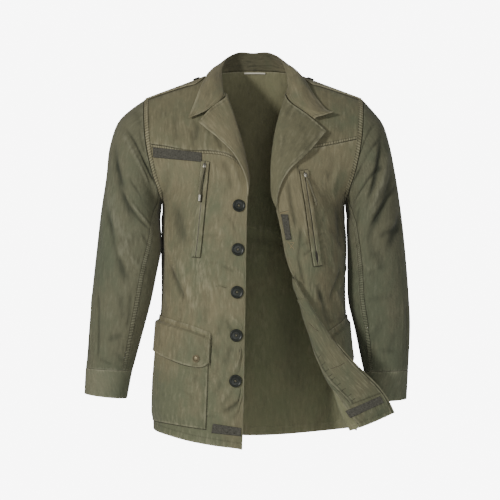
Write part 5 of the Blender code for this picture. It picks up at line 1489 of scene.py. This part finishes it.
def tube(name, path, radius, steps, material, braid=0.0, turns=0.0, nodes=()):
    """A round piece along a path: rings square to it, closed at both ends.

    radius may vary along the path. A braid swells it by braid where either of two opposite
    spirals, three strands each, has its crest.
    """
    path = np.asarray(path, float)
    ahead = unit(np.gradient(path, axis=0))
    up = np.array((0.12, -1.0, 0.07))
    across = unit(np.cross(ahead, up))
    other = np.cross(across, ahead)
    angle = np.arange(steps) * 2.0 * math.pi / steps
    run = run_along(path)
    size = np.broadcast_to(radius, len(path))[:, None] * np.ones(steps)
    if braid:
        turn = 2.0 * math.pi * turns * (run / run[-1])[:, None]
        size = size * (1.0 + braid * np.maximum(np.cos(3.0 * angle + turn), np.cos(3.0 * angle - turn)))
    rings = path[:, None, :] + size[:, :, None] * (np.cos(angle)[:, None] * across[:, None, :]
                                                  + np.sin(angle)[:, None] * other[:, None, :])
    count = len(path) * steps
    faces = grid_faces(len(path), steps, True)[:, ::-1].tolist()
    first, last = np.arange(steps), np.arange(count - steps, count)
    faces += np.stack([np.roll(first, -1), first, np.full(steps, count)], axis=-1)[:, ::-1].tolist()
    faces += np.stack([last, np.roll(last, -1), np.full(steps, count + 1)], axis=-1)[:, ::-1].tolist()
    points = np.concatenate([rings.reshape(-1, 3), path[:1] - ahead[:1] * radius_at(radius, 0) * 0.4,
                             path[-1:] + ahead[-1:] * radius_at(radius, -1) * 0.4])
    made = mesh_object(name, points, faces, [material])
    flat_map(made, np.concatenate([np.stack([np.outer(np.ones(len(path)), angle), np.outer(run, np.ones(steps))],
                                            axis=-1).reshape(-1, 2), np.zeros((2, 2))]))
    if nodes:
        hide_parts(*nodes)
    return made


def radius_at(radius, place):
    return float(np.atleast_1d(radius)[place])


def strip_places(sheet, top, foot, across, along, extra=0.0):
    """Flat places of a strip along a zip: distances to the side of its line, and down it.

    across has one row for all the stations, or one for each.
    """
    top, foot = np.asarray(top, float), np.asarray(foot, float)
    line = foot - top
    long = np.linalg.norm(line)
    line = line / long
    square = np.array((line[1], -line[0])) * (-1.0 if top[0] < 0 else 1.0)
    down = -extra + (long + 2.0 * extra) * along
    places = top + down[:, None, None] * line + np.atleast_2d(across)[..., None] * square
    return find(sheet, places[..., 0], places[..., 1], 130.0, -top[1] + 60.0)


def rod_shell(name, node, sheet, u, v, out, crown, thick, materials, worn):
    """A narrow strip whose middle stands up by a crown: half a sine across it."""
    t = np.linspace(0.0, 1.0, u.shape[1])
    lift = crown * np.sin(math.pi * t) ** 0.7
    return shell(name, [node], sheet.at(u, v, out + lift[None, :]), np.stack([u, v], axis=-1), sheet.side,
                 materials, thick, worn)


for side, (sheet, top, foot, half) in ZIPS.items():
    sign = SIGN[side]
    button("strap_button_cap_" + side, "strap_button_" + side, sheet, 103, 9, OVER + 2.4, 0.64)
    along = np.linspace(0.0, 1.0, 90)
    u, v = strip_places(sheet, top, foot, np.linspace(-6.5, 6.5, 9), along)
    tape = shell("zip_tape_cloth_" + side, ["zip_tape_" + side], sheet.at(u, v, OVER), np.stack([u, v], axis=-1),
                 sheet.side, [TAPE], 1.0)
    lift = OVER + 1.3
    # Each welt starts at the middle, and gives way to a slit at the foot of the left zip.
    slit = 0.7 + (1.6 * np.sin(math.pi * np.clip((along - 0.84) / 0.13, 0.0, 1.0)) if side == "left" else 0.0 * along)
    for part, sign_of in (("in", -1.0), ("out", 1.0)):
        share = np.linspace(0.0, 1.0, 9)[None, :]
        reach = sign_of * (slit[:, None] + (7.5 - slit[:, None]) * (share if sign_of > 0 else 1.0 - share))
        u, v = strip_places(sheet, top, foot, reach, along, 3.0)
        rod_shell("welt_%s_cloth_%s" % (part, side), "welt_%s_%s" % (part, side), sheet, u, v, lift, 0.5, 1.0,
                  [OLIVE], 0.15 + 0.85 * np.abs(2.0 * share - 1.0) ** 5 + 0.0 * u)
    # Painted shadow lines beside the welts and across their ends.
    runs = []
    for across in (-8.3, 8.3):
        u, v = strip_places(sheet, top, foot, [across], along, 3.0)
        runs.append((sheet.at(u[:, 0], v[:, 0], 0.75), sheet.normal(u[:, 0], v[:, 0])))
    for end in (0.0, 1.0):
        u, v = strip_places(sheet, top, foot, np.linspace(-8.0, 8.0, 12), np.array([end]), 4.0)
        runs.append((sheet.at(u[0], v[0], 0.75), sheet.normal(u[0], v[0])))
    shadow_strip("welt_ditch_" + side, runs, 1.5)
    # Teeth: one small block for each, two rows half a pitch apart.
    line = np.asarray(foot, float) - np.asarray(top, float)
    count = int(np.linalg.norm(line) / 2.2)
    corners = np.array([(x, y, z) for x in (-1.3, 1.3) for y in (-0.62, 0.62) for z in (0.0, 1.1)])
    cube = np.array(((0, 1, 3, 2), (4, 6, 7, 5), (0, 4, 5, 1), (2, 3, 7, 6), (0, 2, 6, 4), (1, 5, 7, 3)))
    all_points = []
    for row in (-1.0, 1.0):
        t = (np.arange(count) + 0.5 + 0.25 * row) / count
        u, v = strip_places(sheet, top, foot, [row * 0.9], t)
        centre = sheet.at(u[:, 0], v[:, 0], OVER + 0.5)
        axis = sheet.normal(u[:, 0], v[:, 0])
        up = np.array((-line[0], 0.0, -line[1])) / np.linalg.norm(line)
        across = unit(np.cross(up, axis))
        rise = np.cross(axis, across)
        all_points.append(centre[:, None, :] + corners[None, :, :1] * across[:, None, :]
                          + corners[None, :, 1:2] * rise[:, None, :] + corners[None, :, 2:3] * axis[:, None, :])
    block = np.concatenate(all_points).reshape(-1, 3)
    faces = (cube[None] + 8 * np.arange(2 * count)[:, None, None]).reshape(-1, 4)
    teeth = mesh_object("zip_teeth_" + side, block, faces, [TEETH], smooth=False)
    # Slider: a waisted body and a bridge over it.
    (eye_x, eye_z), (end_x, end_z) = PULLS[side]
    u, v = find(sheet, [eye_x], [eye_z], 130.0, -eye_z + 60.0)
    centre, axis = seat(sheet, u[0], v[0], OVER + 1.0)
    up = np.array((top[0] - foot[0], 0.0, top[1] - foot[1]))
    up = up / np.linalg.norm(up)
    t, s = np.meshgrid(np.linspace(0.0, 1.0, 15), np.arange(28) / 28.0 * 2.0 * math.pi)
    wide = 2.7 + 0.5 * np.abs(np.cos(s)) - 0.5 * np.abs(np.sin(s)) ** 3
    shrink = 1.0 - 0.16 * np.abs(2.0 * t - 1.0) ** 4
    body = np.stack([wide * shrink * np.sign(np.cos(s)) * np.abs(np.cos(s)) ** 0.55,
                     5.0 * shrink * np.sign(np.sin(s)) * np.abs(np.sin(s)) ** 0.55, 3.2 * t], axis=-1)
    body = placed(centre, axis, up, body.transpose(1, 0, 2))
    faces = grid_faces(15, 28, True).tolist()
    faces += [list(range(27, -1, -1)), list(range(14 * 28, 15 * 28))]
    made = mesh_object("zip_slider_body_" + side, body.reshape(-1, 3), faces, [STEEL])
    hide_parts("zip_slider_" + side)
    t = np.linspace(0.0, 1.0, 15)[:, None]
    bridge = np.concatenate([0.0 * t, 3.6 - 7.2 * t, 3.0 + 1.9 * np.sin(math.pi * t) ** 0.6], axis=1)
    tube("zip_bridge_" + side, placed(centre, axis, up, bridge), 0.7, 8, STEEL)
    # Pull: a braid from the eye to a knot with a short frayed end.
    t = np.linspace(0.0, 1.0, 150)
    xs = eye_x + (end_x - eye_x) * t + sign * 2.0 * np.sin(math.pi * t) + 0.5 * np.sin(9.0 * t)
    zs = eye_z - 3.5 + (end_z - eye_z + 3.5) * t
    u, v = find(sheet, xs, zs, 130.0, -eye_z + 60.0)
    width = np.interp(t, (0.0, 0.04, 0.1, 0.72, 0.76, 0.8, 0.86, 0.9, 1.0),
                      (1.0, 1.5, 1.7, 1.7, 2.3, 2.8, 2.7, 1.9, 2.1))
    line = sheet.at(u, v, OVER + 6.4)
    pull = tube("zip_braid_" + side, line, width, 18, BRAID, braid=0.12, turns=11.0,
                nodes=["zip_pull_" + side])
    line[0] * MM
    line * MM
    if side == "right":
        tube("zip_pull_end", sheet.at(u, v, OVER + 6.4)[-32:-2], 3.1, 14, STEEL)

stitches("tan_stitches", [marked(front_left, line) for line in (
    ((48.5, -260), (63, -256.5)), ((62, -312), (73, -314)), ((63, -313), (74, -326)), ((66, -325), (74, -313)))],
    1.7, 2.1, 0.8, 0.5, TAN)
shadow_strip("tan_shade", [marked(front_left, ((48.5, -258.6), (63, -255.0)))], 0.8)
# A short dark line on the right front, drawn as a strip of the same dark lozenges.
shadow_strip("front_tack", [on_grid("front_cloth_right", [(166, 374.5), (174, 372), (185, 370)])], 1.1)

BUTTON_Z = (-246.0, -326.0, -404.0, -483.0, -566.0)
for number, height in enumerate(BUTTON_Z, 1):
    edge_x = blend((-692, -237), (-20.0, -11.5), [height])[0]
    u, v = find(front_right, [edge_x - 15.5], [height], 200.0, -height)
    button("front_button_%d" % number, "button_%d" % number, front_right, u[0], v[0], OVER + 0.2, 1.0,
           (0.2, -0.5, 0.7, 0.1, -0.3)[number - 1])

# ---------------------------------------------------------------- pockets
POCKET_U = (3, 8, 30, 67, 120, 150, 156, 160)
POCKET_OUT = {"right": (2.1, 6.0, 8.2, 7.8, 6.5, 5.2, 3.8, 2.1), "left": (2.1, 3.0, 4.0, 5.6, 6.0, 5.2, 3.8, 2.1)}
POCKET_T = (0.0, 0.05, 0.3, 0.6, 0.92, 1.0)
POCKET_FULL = (0.5, 0.8, 1.0, 1.0, 0.7, 0.0)
POCKETS = {"right": (158.0, 160.0), "left": (146.0, 134.0)}
POCKET_TOP = ((3, 160), (467, 476))
POCKET_FOOT = ((3, 160), (657, 643))
FLAP_TOP = ((1, 160), (453, 464))
SNAP = ((0, 0), (6.4, 0), (6.8, 0.4), (6.5, 0.8), (5.8, 0.75), (5.4, 1), (4.9, 1.7), (3.6, 2.3), (1.8, 2.6),
        (0.2, 2.65))
FLAP_FOOT = ((1, 6, 33, 65, 97, 129, 145, 152, 161), (512, 518, 524, 529, 533, 536, 534, 530, 519))


def pocket_grid(sheet, top_edge, foot_edge, side):
    """A patch pocket: the front's surface, stood out by a table across and one down it."""
    us = closer(3.0, top_edge, 4.0, (3.0, 5.0, 1.4), (top_edge, 8.0, 1.2))
    t = closer(0.0, 1.0, 0.02, (0.0, 0.04, 0.008), (1.0, 0.04, 0.006))[:, None]
    share = (us / top_edge) ** 4
    u = us[None, :] + t * share[None, :] * (foot_edge - top_edge)
    top = np.interp(u, *POCKET_TOP)
    foot = np.interp(u, *POCKET_FOOT)
    stand = np.interp(us * 160.0 / top_edge, POCKET_U, POCKET_OUT[side]) - OVER
    full = np.interp(t, POCKET_T, POCKET_FULL)
    v = top + (foot - top) * t
    near = np.minimum(np.minimum(u - us[0], top_edge + t * (foot_edge - top_edge) - u), foot - v)
    sewn = np.exp(-((near - 3.6) / 0.9) ** 2)
    return sheet.at(u, v, OVER + full * stand[None, :] - 0.5 * sewn), np.stack([u, v], axis=-1)


def flap_grid(sheet, top_edge, side):
    edge = top_edge + 3.0
    us = closer(1.0, edge, 4.0, (1.0, 6.0, 1.2), (edge, 20.0, 1.2))
    t = closer(0.0, 1.0, 0.045, (0.1, 0.12, 0.013), (1.0, 0.12, 0.012))[:, None]
    foot = blend(*FLAP_FOOT, us * 161.0 / edge)[None, :]
    top = np.interp(us, *FLAP_TOP)[None, :]
    stand = np.interp(us * 160.0 / edge, POCKET_U, POCKET_OUT[side]) - OVER + 3.2
    v = top + (foot - top) * t
    u = us[None, :] + 0.0 * t
    drop = v - top
    # Flat for the 9 mm that are sewn down, then rising within 5 mm to the full stand.
    lift = 0.12 * np.minimum(drop / 9.0, 1.0) + 0.88 * soft((drop - 8.6) / 6.0)
    near = np.minimum(np.minimum(u - us[0], us[-1] - u), foot - v)
    sewn = np.exp(-((near - 4.2) / 0.9) ** 2) + np.exp(-((drop - 8.4) / 0.9) ** 2)
    sewn = sewn + np.exp(-((drop - 1.8) / 0.8) ** 2)
    rim = 0.35 * soft((4.0 - near) / 1.5)
    return sheet.at(u, v, OVER + lift * stand[None, :] - 0.5 * sewn + rim), np.stack([u, v], axis=-1)


for side, (top_edge, foot_edge) in POCKETS.items():
    sheet, us = FRONTS[side]
    mid, places = pocket_grid(sheet, top_edge, foot_edge, side)
    shell("pocket_cloth_" + side, ["pocket_" + side], mid, places, sheet.side, CLOTHS, CLOTH, rubbed(places))
    mid, places = flap_grid(sheet, top_edge, side)
    shell("flap_cloth_" + side, ["pocket_flap_" + side], mid, places, sheet.side, CLOTHS, 1.8, rubbed(places))
    edge = top_edge + 3.0
    us = np.array((5.0, 20.0, 45.0, 70.0, 95.0, 120.0, edge - 14.0, edge - 7.5))
    foot = blend(*FLAP_FOOT, us * 161.0 / edge) - 4.2
    foot[-1] -= 4.0
    turn_up = [(edge - 4.2, foot[-1] - 9.0), (edge - 4.2, np.interp(edge, *FLAP_TOP) + 14.0)]
    stitches("flap_stitches_" + side, lines_on("flap_cloth_" + side, list(zip(us, foot)) + turn_up, *(
        [(u, np.interp(u, *FLAP_TOP) + drop) for u in (3.0, 50.0, 100.0, edge - 2.0)] for drop in (1.8, 8.4))))
    cloth = "pocket_cloth_" + side
    shades = lines_on(cloth, [(u, f + 5.4) for u, f in zip(us[:-1], foot)]) + lines_on(
        "front_cloth_" + side, at_u(edge + 1.6, 468, 500, 528),
        [(top_edge + t * (foot_edge - top_edge) + 1.2, 475.0 + 170.0 * t) for t in (0.3, 0.6, 1.0)],
        [(u, np.interp(u, *POCKET_FOOT) + 1.2) for u in (4.0, 80.0, foot_edge)])
    shadow_strip("pocket_shade_" + side, shades, 1.7)
    inner = [(top_edge + t * (foot_edge - top_edge) - 3.6, 475.0 + 165.0 * t) for t in (0.3, 0.55, 0.8, 0.985)]
    foot = [(u, np.interp(u, *POCKET_FOOT) - 3.6) for u in (6.0, 50.0, 100.0, foot_edge - 4.0)]
    stitches("pocket_stitches_" + side, lines_on(cloth, inner, foot))
    centre, axis = seat(sheet, top_edge - 16.0, 519, 5.5 + 3.2 + 1.6)
    points = turned(curve_profile(SNAP, 40), 40)
    points[1] = points[1] * (1.0, 1.0, 0.0)
    flat = placed(centre, axis, (0.0, 0.0, 1.0), points[1:]).reshape(-1, 3)
    faces = grid_faces(39, 40, True).tolist() + [list(range(39, -1, -1)), list(range(38 * 40, 39 * 40))]
    made = mesh_object("snap_cap_" + side, flat, faces, [BRASS])
    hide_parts("snap_" + side)

# ---------------------------------------------------------------- hook tapes, label, cuffs
NAME_TAPE = ((-187, -136), (-95, -148), (-95, -165.5), (-186, -155))
RANK_TAPE = ((49.5, -262), (63, -262), (69, -308), (59, -309))
HEM_TAPE = ((-74, -644), (-22.5, -652), (-23, -667), (-77, -661))


def tape(name, node, sheet, corners, across, down):
    u, v = flat_patch(sheet, corners, even(across), even(down))
    made = shell(name, [node], sheet.at(u, v, OVER), np.stack([u, v], axis=-1), sheet.side, [HOOKS], 1.4)


tape("name_tape", "hook_tape_name", front_right, NAME_TAPE, 40, 8)
tape("rank_tape", "hook_tape_rank", front_left, RANK_TAPE, 8, 24)
tape("hem_tape", "hook_tape_hem", front_right, HEM_TAPE, 24, 8)
places = corner_grid(((172, 616), (254, 612), (254, 631), (172, 637)), even(34), even(8))
mid = front_left.at(places[..., 0], places[..., 1], -LAYER - OVER - 0.8)
made = shell("inside_tape", ["hook_tape_inside"], mid, places, -1.0, [HOOKS], 1.4)
places = places_of(np.linspace(-18.5, 23.5, 20), np.linspace(1.4, 4.6, 5))
mid = back.at(places[..., 0], places[..., 1], -OVER - 0.8)
made = shell("neck_tape", ["neck_label"], mid, places, -1.0, [LABEL], 1.0)
for side, sheet in ARMS.items():
    button("cuff_button_cap_" + side, "cuff_button_" + side, sheet, 250, 492, 5.0, 0.64)

# ---------------------------------------------------------------- sheets
# The cloth, how it is held, what it rests on, its width, length and area on the right and on
# the left, and the pieces that go with it. A $ stands for the side.
PAIRED_SHEETS = (
    ("yoke_cloth_$", "hung", "collar", (0.303, 0.193, 0.03390), (0.326, 0.190, 0.03438), "yoke_seam_$"),
    ("front_cloth_$", "hung", "yoke_$", (0.261, 0.578, 0.12558), (0.258, 0.590, 0.11438), "side_seam_$"),
    ("facing_cloth_$", "folded", "front_$", (0.118, 0.694, 0.03568), (0.142, 0.689, 0.04195), ""),
    ("sleeve_top_cloth_$", "hung", "yoke_$", (0.471, 0.534, 0.13364), (0.464, 0.528, 0.12786),
     "armhole_seam_$ sleeve_front_seam_$"),
    ("sleeve_under_cloth_$", "hung", "sleeve_top_$", (0.120, 0.351, 0.03332), (0.120, 0.350, 0.03267),
     "sleeve_back_seam_$"),
    ("cuff_cloth_$", "hung", "sleeve_top_$", (0.304, 0.054, 0.01504), (0.298, 0.057, 0.01590), ""),
    ("strap_cloth_$", "laid", "yoke_$", (0.128, 0.061, 0.00616), (0.128, 0.061, 0.00616), ""),
    ("zip_tape_cloth_$", "laid", "front_$", (0.015, 0.171, 0.00244), (0.016, 0.173, 0.00255),
     "welt_in_cloth_$ welt_out_cloth_$"),
    ("pocket_cloth_$", "laid", "front_$", (0.187, 0.189, 0.03294), (0.155, 0.189, 0.02673), ""),
    ("flap_cloth_$", "folded", "pocket_$", (0.201, 0.078, 0.01380), (0.177, 0.085, 0.01232), ""),
)
SHEETS = [(name.replace("$", side), held, rests.replace("$", side), sizes[number], joined.replace("$", side))
          for number, side in enumerate(SIGN) for name, held, rests, *sizes, joined in PAIRED_SHEETS]
SHEETS += (
    ("back_cloth", "hung", "collar", (0.515, 0.738, 0.32659),
     "armhole_seam_back_right armhole_seam_back_left neck_tape"),
    ("fly_cloth_left", "laid", "front_left", (0.059, 0.224, 0.01138), ""),
    ("collar_cloth", "folded", "back", (0.106, 0.565, 0.03502), ""),
    ("name_tape", "laid", "front_right", (0.097, 0.020, 0.00182), ""),
    ("rank_tape", "laid", "front_left", (0.013, 0.048, 0.00054), ""),
    ("hem_tape", "laid", "front_right", (0.054, 0.017, 0.00086), ""),
    ("inside_tape", "laid", "facing_left", (0.069, 0.016, 0.00100), ""),
)
for name, held, rests, (width, length, area), joined in SHEETS:
    made = bpy.data.objects[name]
    "tape" not in name

# ---------------------------------------------------------------- room
FLOOR_Z, REACH = -1.3, 2.2
ground = bpy.data.meshes.new("floor")
ground.from_pydata([(x * REACH, y * REACH, FLOOR_Z) for x, y in ((-1, -1), (1, -1), (1, 1), (-1, 1))], [],
                   [(0, 1, 2, 3)])
ground.materials.append(PALE)
linked("floor", ground)


def lamp(name, place, target, size, power, colour=(1.0, 1.0, 1.0)):
    light = bpy.data.lights.new(name, "AREA")
    light.shape = "DISK"
    light.size = size
    light.energy = power
    light.color = colour
    made = linked(name, light)
    made.location = place
    made.rotation_euler = (Vector(target) - Vector(place)).to_track_quat("-Z", "Y").to_euler()


lamp("key", (-2.2, -2.7, 0.6), (0.0, 0.0, -0.3), 0.5, 79.0, (1.0, 0.99, 0.95))
lamp("front", (0.25, -3.3, -0.25), (0.0, 0.0, -0.35), 1.0, 19.0)
lamp("fill", (2.1, -2.5, -0.2), (0.0, 0.0, -0.35), 1.6, 13.0, (0.96, 0.99, 1.0))
lamp("back", (0.3, 2.4, 1.4), (0.0, 0.0, -0.3), 1.6, 14.0)
world = bpy.data.worlds.new("studio")
bpy.context.scene.world = world
world.use_nodes = True
tree = world.node_tree
soft_light = tree.nodes["Background"]
soft_light.inputs["Color"].default_value = (1.0, 1.0, 1.0, 1.0)
soft_light.inputs["Strength"].default_value = 0.2
backdrop = tree.nodes.new("ShaderNodeBackground")
backdrop.inputs["Color"].default_value = (1.0, 1.0, 1.0, 1.0)
backdrop.inputs["Strength"].default_value = 8.0
either = tree.nodes.new("ShaderNodeMixShader")
rays = tree.nodes.new("ShaderNodeLightPath")
tree.links.new(rays.outputs["Is Camera Ray"], either.inputs[0])
tree.links.new(soft_light.outputs[0], either.inputs[1])
tree.links.new(backdrop.outputs[0], either.inputs[2])
tree.links.new(either.outputs[0], tree.nodes["World Output"].inputs["Surface"])
